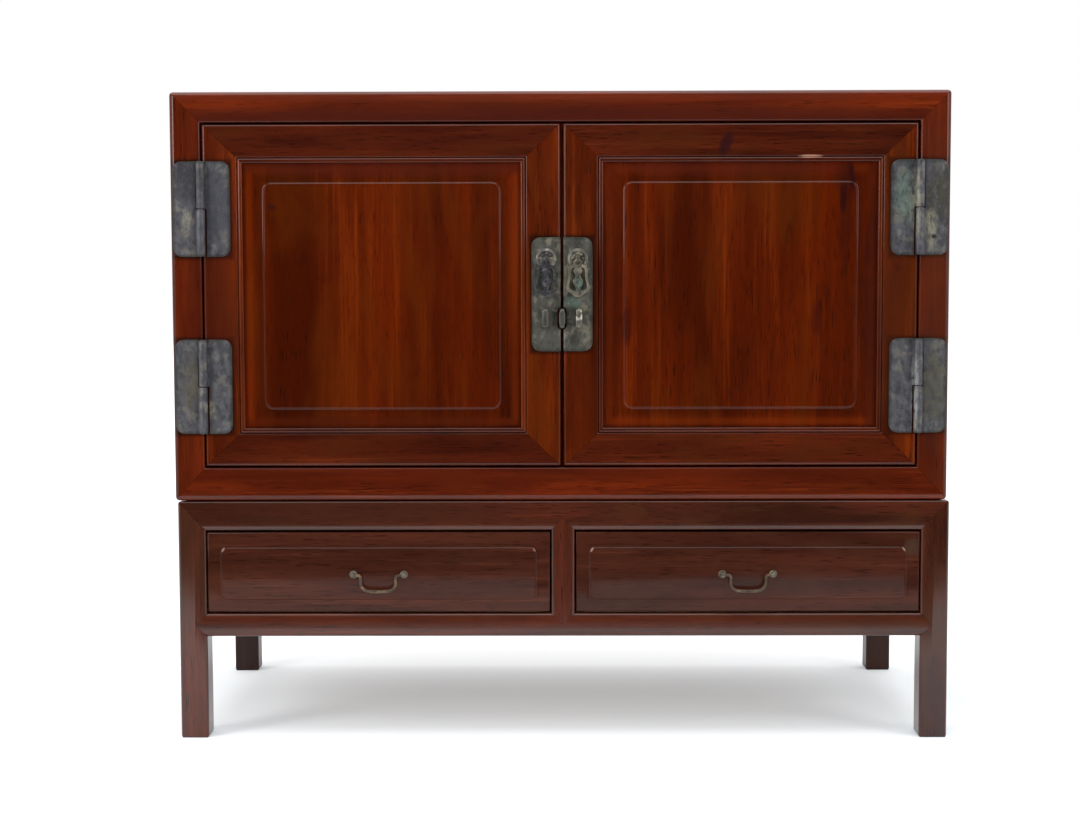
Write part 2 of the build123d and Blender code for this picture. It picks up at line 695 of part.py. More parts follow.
def pendant(x):
    """An openwork pendant: a lug on the cotter's eye, a waisted rim and a small vase inside it."""
    def face(*right_side):
        return polygon(*right_side, *[(-across, down) for across, down in reversed(right_side)])

    hole_top = pendant_slack - (eye_radius - eye_wire)
    hole_low = -pendant_slack - (eye_radius + eye_wire)
    lug = pendant_lug / 2
    half_slot = eye_wire + pendant_slack
    shoulder_z, waist_z, hip_z, foot_z = (hole_low - pendant_drop * part for part in pendant_levels)
    half_rim, neck = pendant_rim / 2, pendant_neck
    rim = face((half_slot, hole_top + pendant_bar), (lug, hole_top), (lug, hole_low),
               (pendant_shoulder - half_rim, hole_low - half_rim), (pendant_shoulder, shoulder_z),
               (pendant_waist, waist_z), (pendant_hip, hip_z), (pendant_hip - half_rim, foot_z),
               (pendant_hip / 2, foot_z - half_rim), (pendant_rim, hole_low - pendant_drop))
    window = face((lug, shoulder_z), (pendant_shoulder - pendant_rim, shoulder_z - pendant_rim),
                  (pendant_waist - pendant_rim, waist_z), (pendant_hip - pendant_rim, hip_z),
                  (pendant_hip - 3 * half_rim, foot_z + pendant_rim), (lug, foot_z + half_rim))
    vase = face((neck, shoulder_z), (neck, shoulder_z - pendant_rim), (lug, (shoulder_z + waist_z) / 2),
                (neck, waist_z), (pendant_belly, hip_z), (neck, foot_z))
    hole = Pos(0, (hole_top + hole_low) / 2) * Rectangle(2 * half_slot, hole_top - hole_low)
    y_range = middle((eye_y, eye_y), pendant_thickness)
    return Pos(x, 0, pull_z) * from_front(rim - window + vase - hole, y_range)


frame_leaves = []
pins = []
meeting_x = meeting_offset
notch = Pos(meeting_x, 0, lock_z) * from_front(
    SlotOverall(lock_notch_height, lock_notch_width, rotation=90), (plate_y[0], door_y[1]))
for side, name in SIDES.items():
    outer = side * (post_inner - door_gap)
    inner = meeting_x + side * meeting_gap / 2
    sight_outer, sight_inner = outer - side * door_stile, inner + side * door_stile
    sight_z = grown(door_z, -door_rail)
    sight_x = span(sight_outer, sight_inner)

    hinge_stile = beaded(Axis.Z, outer, sight_outer, door_z)
    meeting_stile = beaded(Axis.Z, inner, sight_inner, door_z)
    bottom_rail = beaded(Axis.X, door_z[0], sight_z[0], span(outer, inner))
    top_rail = beaded(Axis.X, door_z[1], sight_z[1], span(outer, inner))
    size = (door_stile, door_thickness, door_rail)
    corner_at = {}
    for x, x_inward in ((outer, -side), (inner, side)):
        for z, z_inward in ((door_z[0], 1), (door_z[1], -1)):
            corner_at[(x, z)] = ((x, front, z), size, (x_inward, 1, z_inward))
    hinge_stile = mitred(hinge_stile, [corner_at[(outer, z)] for z in door_z], TALL, [ACROSS])
    meeting_stile = mitred(meeting_stile, [corner_at[(inner, z)] for z in door_z], TALL, [ACROSS])
    bottom_rail = mitred(bottom_rail, [corner_at[(x, door_z[0])] for x in (outer, inner)],
                         ACROSS, [TALL])
    top_rail = mitred(top_rail, [corner_at[(x, door_z[1])] for x in (outer, inner)],
                      ACROSS, [TALL])

    # Hidden tenons hold the mitres.
    for z, way in ((door_z[0], 1), (door_z[1], -1)):
        for x, x_way, sight in ((outer, -side, sight_outer), (inner, side, sight_inner)):
            box = block(span(x + x_way * tenon_cover, sight), middle(door_y, door_tenon),
                        span(z + way * tenon_cover, z + way * (tenon_cover + 2 * tenon)))
            if way > 0:
                bottom_rail = bottom_rail + box
            else:
                top_rail = top_rail + box
            if x == outer:
                hinge_stile = hinge_stile - box
            else:
                meeting_stile = meeting_stile - box

    # The panel floats in grooves and has a raised field with round corners.
    panel = block(grown(sight_x, groove - panel_play), door_panel_y, grown(sight_z, groove))
    panel_cut = block(grown(sight_x, groove), door_panel_y, grown(sight_z, groove))
    field = block(grown(sight_x, -field_border), (door_panel_y[0] - field_rise, door_panel_y[0]),
                  grown(sight_z, -field_border))
    field = fillet(field.edges().filter_by(Axis.Y), field_corner)
    field = fillet(field.faces().sort_by(Axis.Y)[0].edges(), field_arris)
    panel = panel + field
    door_battens = []
    for z, way in ((sight_z[0], 1), (sight_z[1], -1)):
        centre = z + way * door_batten_inset
        near, seat, far = door_panel_y[1] - dovetail, door_panel_y[1], door_y[1]
        half, throat = door_batten / 2, dovetail_width / 2
        tail = throat + dovetail / 2
        outline = polygon((near, centre - tail), (near, centre + tail),
                          (seat, centre + throat), (seat, centre + half),
                          (far, centre + half), (far, centre - half),
                          (seat, centre - half), (seat, centre - throat))
        door_battens.append(from_side(outline, grown(sight_x, housing)))
    hinge_stile = hinge_stile - panel_cut
    meeting_stile = meeting_stile - panel_cut
    bottom_rail = bottom_rail - panel_cut
    top_rail = top_rail - panel_cut
    for batten in door_battens:
        panel = panel - batten
        hinge_stile = hinge_stile - batten
        meeting_stile = meeting_stile - batten

    # Half lock plate, staple, rosette, cotter and pendant on the meeting stile.
    lock_z_range = (door_z[0] + lock_plate_lift, door_z[0] + lock_plate_lift + lock_plate_height)
    lock_plate = plate(inner, inner + side * lock_plate_width, lock_z_range) - notch
    side_staple = staple(meeting_x + side * staple_offset, front + staple_leg)
    pull_x = meeting_x + side * pull_offset
    rosette_back = front - sheet
    rosette = rod((pull_x, rosette_back, pull_z), (pull_x, rosette_back - rosette_rim, pull_z),
                  rosette_radius)
    rosette = rosette + rod((pull_x, rosette_back, pull_z),
                            (pull_x, rosette_back - rosette_height, pull_z), rosette_boss_radius)
    ring = Plane((pull_x, eye_y, pull_z), z_dir=(1, 0, 0)) * Torus(eye_radius, eye_wire)
    shank = rod((pull_x, eye_y + eye_radius, pull_z), (pull_x, door_y[1] + cotter_tail, pull_z),
                eye_wire)
    tails = block(middle((pull_x, pull_x), cotter_tail_width),
                  (door_y[1], door_y[1] + cotter_tail),
                  (pull_z - cotter_tail_length, pull_z + cotter_tail_length))
    cotter = ring + shank + tails
    rosette = rosette - cotter
    lock_plate = lock_plate - side_staple - cotter
    meeting_stile = meeting_stile - notch - side_staple - cotter

    # Two hinges: the frame leaf holds the pin in its lower knuckle, the door leaf sits above it.
    axis_x = side * (post_inner - door_gap / 2)
    door_leaves = []
    for low in (door_z[0] + hinge_inset_bottom, door_z[1] - hinge_inset_top - hinge_height):
        high, half_way = low + hinge_height, low + hinge_height / 2
        for way, z_range in ((1, (low, half_way - knuckle_gap / 2)),
                             (-1, (half_way + knuckle_gap / 2, high))):
            clear = axis_x + side * way * (barrel_radius + barrel_clearance)
            leaf = plate(clear, axis_x + side * way * hinge_leaf, (low, high))
            leaf = leaf + block(span(axis_x, clear), plate_y, z_range)
            leaf = leaf + rod((axis_x, axis_y, z_range[0]), (axis_x, axis_y, z_range[1]),
                              barrel_radius)
            bore = pin_radius if way > 0 else pin_radius + running_fit
            leaf = leaf - rod((axis_x, axis_y, low), (axis_x, axis_y, high), bore)
            (frame_leaves if way > 0 else door_leaves).append(leaf)
        pins.append(rod((axis_x, axis_y, low), (axis_x, axis_y, high), pin_radius))

    add(f"{name}_door_stiles", hinge_stile, meeting_stile, x=cabinet_x)
    add(f"{name}_door_rails", bottom_rail, top_rail, x=cabinet_x)
    add(f"{name}_door_panel", panel, x=cabinet_x)
    add(f"{name}_door_battens", *door_battens, x=cabinet_x)
    add(f"{name}_door_hinge_leaves", *door_leaves, x=cabinet_x)
    add(f"{name}_lock_plate", lock_plate, x=cabinet_x)
    add(f"{name}_lock_staple", side_staple, x=cabinet_x)
    add(f"{name}_pull_rosette", rosette, x=cabinet_x)
    add(f"{name}_pull_cotter", cotter, x=cabinet_x)
    add(f"{name}_pendant", pendant(pull_x), x=cabinet_x)

centre_staple = staple(meeting_x, stile_y[1])
centre_stile = centre_stile - centre_staple

add("cabinet_front_posts", posts[(-1, -1)], posts[(1, -1)], x=cabinet_x)
add("cabinet_rear_posts", posts[(-1, 1)], posts[(1, 1)], x=cabinet_x)
add("cabinet_top_rail", long_rails[(-1, 1)], x=cabinet_x)
add("cabinet_bottom_rail", long_rails[(-1, -1)], x=cabinet_x)
add("cabinet_rear_rails", long_rails[(1, 1)], long_rails[(1, -1)], x=cabinet_x)
add("cabinet_side_rails", *side_rails.values(), x=cabinet_x)
add("cabinet_top_panel", top_panel, x=cabinet_x)
add("cabinet_floor_panel", floor_panel, x=cabinet_x)
add("cabinet_panel_battens", *battens, x=cabinet_x)
add("cabinet_side_panels", *side_panels, x=cabinet_x)
add("cabinet_back_panels", *back_panels, x=cabinet_x)
add("cabinet_back_muntin", muntin, x=cabinet_x)
add("cabinet_centre_stile", centre_stile, x=cabinet_x)
add("centre_stile_staple", centre_staple, x=cabinet_x)
add("cabinet_shelf", shelf, x=cabinet_x)
add("shelf_bearers", *bearers, x=cabinet_x)
add("hinge_frame_leaves", *frame_leaves, x=cabinet_x)
add("hinge_pins", *pins, x=cabinet_x)

# ------------------------------------------------------------------ write
for name, shape in parts.items():
    export_step(shape, f"parts/{name}.step")
print(f"{len(parts)} nodes, front face at y = {front:.2f}, back face at y = {back:.2f}")
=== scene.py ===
"""A kang cabinet on its stand: polished red-brown hardwood with dark brass fittings.

Metres, +Z up, the doors face -Y. Wood members get softly crowned faces and worn arrises, and the
plates, hinges, pendants, staples and bails are shaped as the smith would make them.
"""
import math

import bmesh
import bpy
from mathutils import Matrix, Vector


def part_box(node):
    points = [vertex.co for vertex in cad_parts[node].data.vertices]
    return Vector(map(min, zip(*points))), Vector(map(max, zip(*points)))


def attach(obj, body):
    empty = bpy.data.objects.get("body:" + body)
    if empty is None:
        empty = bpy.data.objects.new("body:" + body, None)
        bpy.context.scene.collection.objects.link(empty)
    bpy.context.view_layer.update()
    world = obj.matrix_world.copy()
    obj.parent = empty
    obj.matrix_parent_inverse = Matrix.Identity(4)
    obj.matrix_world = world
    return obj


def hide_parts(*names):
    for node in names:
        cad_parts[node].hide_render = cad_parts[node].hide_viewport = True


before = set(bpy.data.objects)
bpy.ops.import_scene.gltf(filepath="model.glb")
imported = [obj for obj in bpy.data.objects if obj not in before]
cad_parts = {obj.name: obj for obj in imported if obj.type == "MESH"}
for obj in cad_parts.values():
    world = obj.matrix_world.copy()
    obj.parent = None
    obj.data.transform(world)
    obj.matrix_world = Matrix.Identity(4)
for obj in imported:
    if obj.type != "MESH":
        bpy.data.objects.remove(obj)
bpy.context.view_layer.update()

MM = 0.001
X, Y, Z = 0, 1, 2
AXES = (Vector((1, 0, 0)), Vector((0, 1, 0)), Vector((0, 0, 1)))
QUARTER = math.pi / 2            # of a turn
FACING = {X: (0, QUARTER, 0), Y: (QUARTER, 0, 0), Z: (0, 0, 0)}  # turns a level disc to an axis
SIDES = {-1: "left", 1: "right"}
CROWN = 1.6 * MM                 # how far a planed face falls away towards its arrises
CROWN_LINES = (-1, -0.82, -0.62, -0.38, 0, 0.38, 0.62, 0.82, 1)
MITRE = 0.12 * MM                # half of the fine line at a mitre
SAME = 0.01 * MM                 # places nearer than this are one place
SHOW_FRONT = (-0.2240, -0.2220)  # marks on the front fade out between these places along Y


def at_end(side, low, high):
    """The low value for side -1 and the high one for side 1."""
    return low if side < 0 else high


# ------------------------------------------------------------------ surface maths
class Value:
    """A number that changes over a surface. Arithmetic on it adds Math nodes."""

    def __init__(self, finish, socket):
        self.finish, self.socket = finish, socket

    def math(self, operation, *numbers):
        node = self.finish.node("ShaderNodeMath", {"operation": operation},
                                dict(enumerate(numbers)))
        return Value(self.finish, node.outputs[0])

    def __add__(self, other):
        return self.math("ADD", self, other)

    __radd__ = __add__

    def __mul__(self, other):
        return self.math("MULTIPLY", self, other)

    __rmul__ = __mul__

    def __sub__(self, other):
        return self.math("SUBTRACT", self, other)

    def __rsub__(self, other):
        return self.math("SUBTRACT", other, self)

    def __abs__(self):
        return self.math("ABSOLUTE", self)

    def least(self, other):
        return self.math("MINIMUM", self, other)


class Nodes:
    """The nodes of a material or of the world."""

    def __init__(self, tree):
        self.tree = tree

    def node(self, kind, settings=None, inputs=None):
        """Adds a node: its type, then its settings, then the values or links of its sockets."""
        node = self.tree.nodes.new(kind)
        for name, value in (settings or {}).items():
            setattr(node, name, value)
        for name, value in (inputs or {}).items():
            self.feed(node.inputs[name], value)
        return node

    def feed(self, socket, value):
        if isinstance(value, Value):
            value = value.socket
        if isinstance(value, bpy.types.NodeSocket):
            self.tree.links.new(value, socket)
        else:
            socket.default_value = value


class Finish(Nodes):
    """A material and the nodes that paint it."""

    def __init__(self, name):
        self.material = bpy.data.materials.new(name)
        self.material.use_nodes = True
        super().__init__(self.material.node_tree)
        self.shader = self.tree.nodes["Principled BSDF"]

    def set(self, **inputs):
        """Sets or links sockets of the shader itself."""
        for name, value in inputs.items():
            self.feed(self.shader.inputs[name.replace("_", " ")], value)

    def place(self, scale, offset=(0, 0, 0)):
        """Object coordinates, stretched and moved."""
        coordinates = self.node("ShaderNodeTexCoord").outputs["Object"]
        return self.node("ShaderNodeMapping", {}, {"Vector": coordinates, "Location": offset,
                                                   "Scale": scale}).outputs[0]

    def noise(self, vector, detail, roughness, distortion=0.0, scale=1.0):
        node = self.node("ShaderNodeTexNoise", {}, {
            "Vector": vector, "Scale": scale, "Detail": detail, "Roughness": roughness,
            "Distortion": distortion})
        return Value(self, node.outputs["Fac"])

    def between(self, value, low, high):
        """0 below low, 1 above high and smooth from one to the other."""
        node = self.node("ShaderNodeMapRange", {"interpolation_type": "SMOOTHSTEP"}, {
            "Value": value, "From Min": low, "From Max": high})
        return Value(self, node.outputs[0])

    def mix(self, share, one, other):
        """One colour, with a share of another."""
        node = self.node("ShaderNodeMix", {"data_type": "RGBA"}, {0: share, 6: one, 7: other})
        return node.outputs[2]

    def along(self, axis):
        """The place along an axis, in metres."""
        parts = self.node("ShaderNodeSeparateXYZ", {}, {0: self.place((1, 1, 1))})
        return Value(self, parts.outputs[axis])

    def inside_edge(self, folds):
        """How far inside its edge a point of an upright plate or board lies.

        folds holds, for x and then z, the middle, how far from it twins lie and the half size.
        """
        (x, x_twin, x_half), (z, z_twin, z_half) = folds
        across = x_half - abs(abs(self.along(X) - x) - x_twin)
        return across.least(z_half - abs(abs(self.along(Z) - z) - z_twin))

    def in_front(self):
        """1 on the faces that the object shows to the room and 0 behind them."""
        return 1 - self.between(self.along(Y), *SHOW_FRONT)

    def spot(self, x, z, wide, tall, lean=0.0):
        """A ragged spot on a front face: its middle, half sizes and lean, in millimetres."""
        up = (self.along(Z) - z * MM) * (1 / (tall * MM))
        out = (self.along(X) - x * MM) * (1 / (wide * MM)) - up * lean
        ragged = self.noise(self.place((1, 1, 0.45)), 4.0, 0.65, scale=900.0 / wide)
        return (1 - self.between(out * out + up * up + ragged * 1.6, 0.85, 1.75)) * self.in_front()

    def bump(self, height, distance, strength):
        self.set(Normal=self.node("ShaderNodeBump", {}, {
            "Height": height, "Distance": distance, "Strength": strength}).outputs[0])


def rgb(red, green, blue):
    """A colour as a paint card shows it, 0 to 255, for a shader's socket."""
    parts = []
    for part in (red, green, blue):
        part = part / 255
        parts.append(part / 12.92 if part <= 0.04045 else ((part + 0.055) / 1.055) ** 2.4)
    return (*parts, 1.0)


# ------------------------------------------------------------------ finishes
# Pores and age are the wood's own. The border's lighter band and darker hollow and the halo round
# plates are wear and dirt with painted sheen and shade. The dark rim is the brass's patina.
PORE, AGED, RUBBED_SHEEN = rgb(20, 6, 3), rgb(40, 11, 4), rgb(112, 40, 8)
DIRT_AND_SHADE, GRIME_AND_SHADE, DARK_RIM = rgb(34, 9, 3), rgb(22, 9, 5), rgb(42, 44, 36)


def wood(name, grain, seed, deep, warm, light, tone, coat, haze, streaks=0.5, tight=2.6,
         board=None, plates=(), marks=()):
    """Hardwood whose grain runs along one axis: broad bands, streaks, fibres and open pores.

    tone is the browner colour of its cloudy parts, coat and haze are the strength and the dullness
    of its polish, and tight is how tightly its bands lie, 1 on a board. board holds a panel's
    folds, for the lighter band beside the frame, rubbed wear with painted sheen, and the darker
    band in the hollow, dirt with painted shade; plates holds the folds of plates with a darker
    halo round them, dirt with painted shade. marks holds a spot's shape, colour and share.
    """
    finish = Finish(name)

    def stretched(along, across, shift):
        scale = [across] * 3
        scale[grain] = along
        return finish.place(scale, (seed * 1.37 + shift, seed * 0.71 + shift, seed * 2.13 + shift))

    bands = finish.noise(stretched(1.1 * tight, 9.0 * tight, 0.0), 4.0, 0.55, 0.6)
    ribbon = finish.noise(stretched(1.6, 42.0, 3.0), 3.0, 0.6, 0.35)
    fine = finish.noise(stretched(5.0, 230.0, 7.0), 3.0, 0.65, 0.2)
    fibre = finish.noise(stretched(16.0, 900.0, 11.0), 2.0, 0.6)
    pores = finish.noise(stretched(38.0, 950.0, 17.0), 1.0, 0.5)
    wear = finish.noise(finish.place((3.1, 3.1, 3.1), (seed, 2 * seed, seed)), 4.0, 0.6)

    figured = finish.between(bands * 0.62 + ribbon * 0.4, 0.36, 0.66)
    colour = finish.mix(figured, deep, warm)
    colour = finish.mix(finish.between(ribbon * 0.5 + fine * 0.5, 0.52, 0.72) * streaks,
                        colour, light)
    colour = finish.mix(finish.between(fibre, 0.50, 0.75) * 0.35, colour, deep)
    colour = finish.mix(finish.between(pores, 0.60, 0.70) * 0.75, colour, PORE)
    colour = finish.mix(finish.between(wear, 0.48, 0.75) * 0.4, colour, AGED)
    cloudy = finish.noise(stretched(2.6 * tight, 8.0 * tight, 23.0), 4.0, 0.6, 0.8)
    colour = finish.mix(finish.between(cloudy, 0.46, 0.66) * 0.42, colour, tone)
    if board:
        inside = finish.inside_edge(board)
        # Beside the frame, a lighter band of rubbed wear with painted sheen. In the hollow by the
        # field, a darker band of dirt with painted shade.
        rubbed = finish.between(inside, 0.001, 0.006) * (1 - finish.between(inside, 0.009, 0.016))
        dirt_and_shade = finish.between(inside, 0.015, 0.021) * (1 - finish.between(inside, 0.024, 0.028))
        colour = finish.mix(rubbed * wear * 0.5, colour, RUBBED_SHEEN)
        colour = finish.mix(dirt_and_shade * 0.3, colour, DIRT_AND_SHADE)
    for folds in plates:
        # A darker halo on the wood round each plate: dirt with painted shade.
        grime_and_shade = finish.between(finish.inside_edge(folds) + wear * 0.004, -0.0045, 0.002)
        colour = finish.mix(grime_and_shade * finish.in_front() * 0.75, colour, GRIME_AND_SHADE)
    for outline, tint, share in marks:
        colour = finish.mix(finish.spot(*outline) * share, colour, rgb(*tint))
    finish.set(Base_Color=colour,
               Roughness=finish.between(wear * 0.6 + fine * 0.4, 0.2, 0.8) * 0.16 + 0.42,
               Specular_IOR_Level=0.0, Coat_Weight=coat, Coat_Roughness=haze, IOR=1.5)
    finish.bump(fine * 0.5 + fibre * 0.3 - pores * 0.2 + ribbon * 1.5, 0.00012, 0.6)
    return finish.material


def plain_wood(name, grains, dark, pale, seed):
    """Unpolished inner wood, dry and dusty in the pores; grains holds the ways its boards run."""
    finish = Finish(name)
    scale, fine_scale = [60.0] * 3, [520.0] * 3
    for axis in grains:
        scale[axis], fine_scale[axis] = 1.8, 9.0
    bands = finish.noise(finish.place(scale, (seed, seed, seed)), 4.0, 0.6, 0.5)
    fine = finish.noise(finish.place(fine_scale, (seed, 0, seed)), 2.0, 0.6)
    dust = finish.noise(finish.place((6, 6, 6)), 4.0, 0.6)
    colour = finish.mix(finish.between(bands * 0.6 + fine * 0.4, 0.35, 0.65), dark, pale)
    colour = finish.mix(finish.between(dust, 0.5, 0.8) * 0.4, colour, dark)
    finish.set(Base_Color=colour, Roughness=fine * 0.2 + 0.55)
    finish.bump(fine * 0.6 + bands * 0.6, 0.0002, 0.5)
    return finish.material


def patina(name, base, bright, bloom, bloom_share, rubbed, seed, dense=55.0, dull=0.36,
           plate=None, marks=()):
    """Brass gone dark: cloudy tarnish, green-grey bloom in patches and rubbed spots.

    dense is how densely the clouds lie and dull how dull the metal is. plate holds a plate's
    folds, for the dark rim; marks holds a spot's shape, its colour and its share.
    """
    finish = Finish(name)
    base, bright, bloom = rgb(*base), rgb(*bright), rgb(*bloom)
    spot = (seed * 0.31, seed * 0.17, seed * 0.53)
    clouds = finish.noise(finish.place((dense, dense, dense * 0.6), spot), 8.0, 0.72, 0.3)
    patches = finish.noise(finish.place((dense * 1.9, dense * 1.9, dense), spot), 8.0, 0.72)
    specks = finish.noise(finish.place((620,) * 3, spot), 3.0, 0.6)
    worn = finish.noise(finish.place((dense * 0.8,) * 3, (seed, 4, 2)), 3.0, 0.5)
    green = finish.between(patches, 0.50, 0.66) * bloom_share
    rub = finish.between(worn + specks * 0.15, 0.58, 0.74) * rubbed
    dark = [part * 0.55 for part in base[:3]] + [1.0]
    colour = finish.mix(finish.between(clouds, 0.36, 0.62), dark, base)
    colour = finish.mix(green, colour, bloom)
    colour = finish.mix(rub, colour, bright)
    colour = finish.mix(finish.between(specks, 0.60, 0.74) * 0.5, colour, dark)
    if plate:
        inside = finish.inside_edge(plate) + clouds * 0.004
        colour = finish.mix((1 - finish.between(inside, 0.002, 0.008)) * 0.7, colour, DARK_RIM)
    broken = finish.between(patches, 0.36, 0.56)
    for outline, tint, share in marks:
        colour = finish.mix(finish.spot(*outline) * broken * share, colour, rgb(*tint))
    finish.set(Base_Color=colour, Metallic=0.72 - green * 0.6,
               Roughness=finish.between(clouds * 0.5 + specks * 0.5, 0.3, 0.7) * 0.2 + dull)
    finish.bump(clouds * 1.2 + specks * 0.35, 0.0004, 0.7)
    return finish.material


CASE = dict(deep=rgb(58, 16, 5), warm=rgb(94, 30, 8), light=rgb(134, 57, 20), tone=rgb(76, 27, 8),
            coat=0.6, haze=0.09)
DOOR = dict(deep=rgb(52, 13, 2), warm=rgb(86, 28, 4), light=rgb(124, 51, 12), tone=rgb(76, 31, 5),
            coat=0.6, haze=0.09)
DOOR_RAILS = dict(deep=rgb(44, 12, 5), warm=rgb(70, 23, 8), light=rgb(98, 41, 16),
                  tone=rgb(62, 26, 8), coat=0.65, haze=0.09)
PANEL = dict(deep=rgb(50, 11, 1), warm=rgb(78, 21, 1), light=rgb(104, 38, 5), tone=rgb(74, 29, 3),
             coat=0.42, haze=0.1, tight=1.3)
STAND = dict(deep=rgb(42, 16, 7), warm=rgb(72, 28, 13), light=rgb(104, 46, 24),
             tone=rgb(66, 34, 14), coat=0.95, haze=0.2)
# The rear legs get a darker copy of the stand's wood: painted shade.
SHADED_REAR = dict(STAND, deep=rgb(32, 14, 10), warm=rgb(46, 21, 15), light=rgb(66, 33, 24), coat=0.5)
DRAWER = dict(deep=rgb(44, 19, 11), warm=rgb(67, 31, 20), light=rgb(102, 54, 38),
              tone=rgb(62, 34, 22), coat=0.33, haze=0.16, tight=1.8)

# Middles, twins and half sizes, across and up, of the panels in sight, the lock and the hinges.
LEFT_BOARD = ((-0.24425, 0.0, 0.18875), (0.611, 0.0, 0.1803))
RIGHT_BOARD = ((0.24355, 0.0, 0.18605), (0.611, 0.0, 0.1803))
LOCK_FOLDS = ((0.001, 0.0, 0.0415), (0.6127, 0.0, 0.0775))
HINGE_FOLDS = ((-0.0017, 0.4869, 0.039), (0.6085, 0.1208, 0.0645))

# Marks on the front: the place across and up, the half sizes and the lean in millimetres, then
# the colour and its share.
# The third colour paints the pale highlights at the drawer fields' upper corners.
KNOT, STREAK, CORNER_HIGHLIGHT = (34, 12, 14), (34, 9, 7), (168, 136, 122)
# The second colour darkens spots on the metalwork, painted shade in and behind the pendants'
# openings among them.
BEIGE, STAIN_AND_SHADE = (148, 144, 126), (28, 28, 24)
MARKS = {
    "case_upright": [((512, 620, 34, 380), (58, 27, 17), 0.65)],
    # On the top rail, the darker lower half and the lighter top are painted shade and painted sheen
    # of its crowned face.
    "case_across": [((0, 844, 900, 32), (50, 17, 11), 0.8), ((0, 374, 900, 26), (60, 17, 5), 0.6),
                    ((0, 884, 900, 14), (90, 40, 28), 0.3)],
    "door_upright_left": [((-466, 620, 34, 300), (54, 18, 10), 0.5)],
    "door_upright_right": [((30, 470, 44, 130), (52, 13, 3), 0.6),
                           ((458, 610, 36, 290), (56, 24, 10), 0.5)],
    "door_across_right": [((222.6, 814.5, 11, 22, 0.5), KNOT, 0.85),
                          ((337.5, 798.6, 20, 2.7), (178, 132, 110), 0.65)],
    "door_panel_left": [((-394.2, 732, 8, 5), KNOT, 0.75),
                        ((-244, 438, 240, 14), (48, 13, 5), 0.6),
                        ((-230, 784, 260, 14), (54, 16, 11), 0.6)],
    "door_panel_right": [
        ((243, 784, 240, 14), (54, 16, 11), 0.5),
        ((388, 764, 20, 40, -0.2), STREAK, 0.5), ((385, 715, 13, 80), STREAK, 0.45),
        ((394, 772, 5, 24, -0.3), STREAK, 0.9), ((383, 744, 6, 30, 0.2), STREAK, 0.9),
        ((348, 580, 10, 34), STREAK, 0.5), ((90, 575, 9, 40), STREAK, 0.6),
        ((424, 611, 17, 260), (38, 12, 8), 0.7), ((67, 600, 14, 230), (44, 11, 3), 0.5)],
    "stand_upright": [((-508, 240, 34, 110), (54, 30, 17), 0.55)],
    # The lighter band along the top of the lower rails is painted sheen of their crowned faces.
    "stand_across": [((0, 166, 900, 11), (96, 42, 24), 0.25),
                     ((-300, 312, 330, 24), (46, 19, 9), 0.6)],
    # On the drawers, the small pale spots at the fields' upper corners are painted highlights.
    "drawer_left": [((-466.5, 262.2, 2.2, 4.0, 0.9), CORNER_HIGHLIGHT, 0.4),
                    ((-38.1, 262.2, 2.0, 3.4, -0.9), CORNER_HIGHLIGHT, 0.3)],
    "drawer_right": [((482.9, 265.4, 14, 18), (62, 46, 36), 0.7),
                     ((41.5, 262.2, 2.4, 4.2, 0.9), CORNER_HIGHLIGHT, 0.5),
                     ((469.9, 262.2, 2.2, 3.6, -0.9), CORNER_HIGHLIGHT, 0.4)],
    "hinge": [
        # The narrow pale streaks down the right hinges beside their knuckles, at 479 and 480 across,
        # are painted highlights. The other spots are the brass's patina.
        ((467, 740, 20, 52), (106, 124, 114), 0.8), ((479, 735, 8, 60), BEIGE, 0.7),
        ((509, 742, 18, 56), (70, 68, 54), 0.9), ((501, 700, 12, 40), BEIGE, 0.8),
        ((506, 490, 22, 60), (88, 86, 72), 0.8), ((480, 480, 6, 70), (160, 164, 162), 0.6),
        ((-509, 712, 9, 24), BEIGE, 0.55), ((-506, 492, 18, 56), (90, 85, 72), 0.8),
        ((-510, 770, 30, 50), (58, 56, 60), 0.9), ((-467, 728, 24, 70), (66, 66, 76), 0.8),
        ((-480, 458, 7, 12), BEIGE, 0.8), ((504.9, 690.3, 4.4, 4.4), (20, 20, 14), 0.95)],
    # On the plate, the dark spots behind the pendants' openings are painted shade, and the plate is
    # darker round the notch.
    "plate": [((22.5, 634, 17, 27), STAIN_AND_SHADE, 0.75), ((-20.5, 634, 17, 27), STAIN_AND_SHADE, 0.6),
              ((1, 580.2, 30, 22), STAIN_AND_SHADE, 0.9), ((16, 602, 17, 10), (98, 128, 118), 0.6)],
    # The dark spot over the right pendant's slot is painted shade. The right rosette is darker in
    # its middle, behind the pendant's top.
    "pendant_right": [((22.5, 632, 11, 26), (66, 76, 72), 0.9),
                      ((26.5, 627, 5, 7), (104, 138, 128), 0.6),
                      ((22.5, 655.2, 4.2, 3.4), STAIN_AND_SHADE, 1.0)],
    "rosette_right": [((22.5, 658.6, 8.5, 8.5), STAIN_AND_SHADE, 0.85)]}

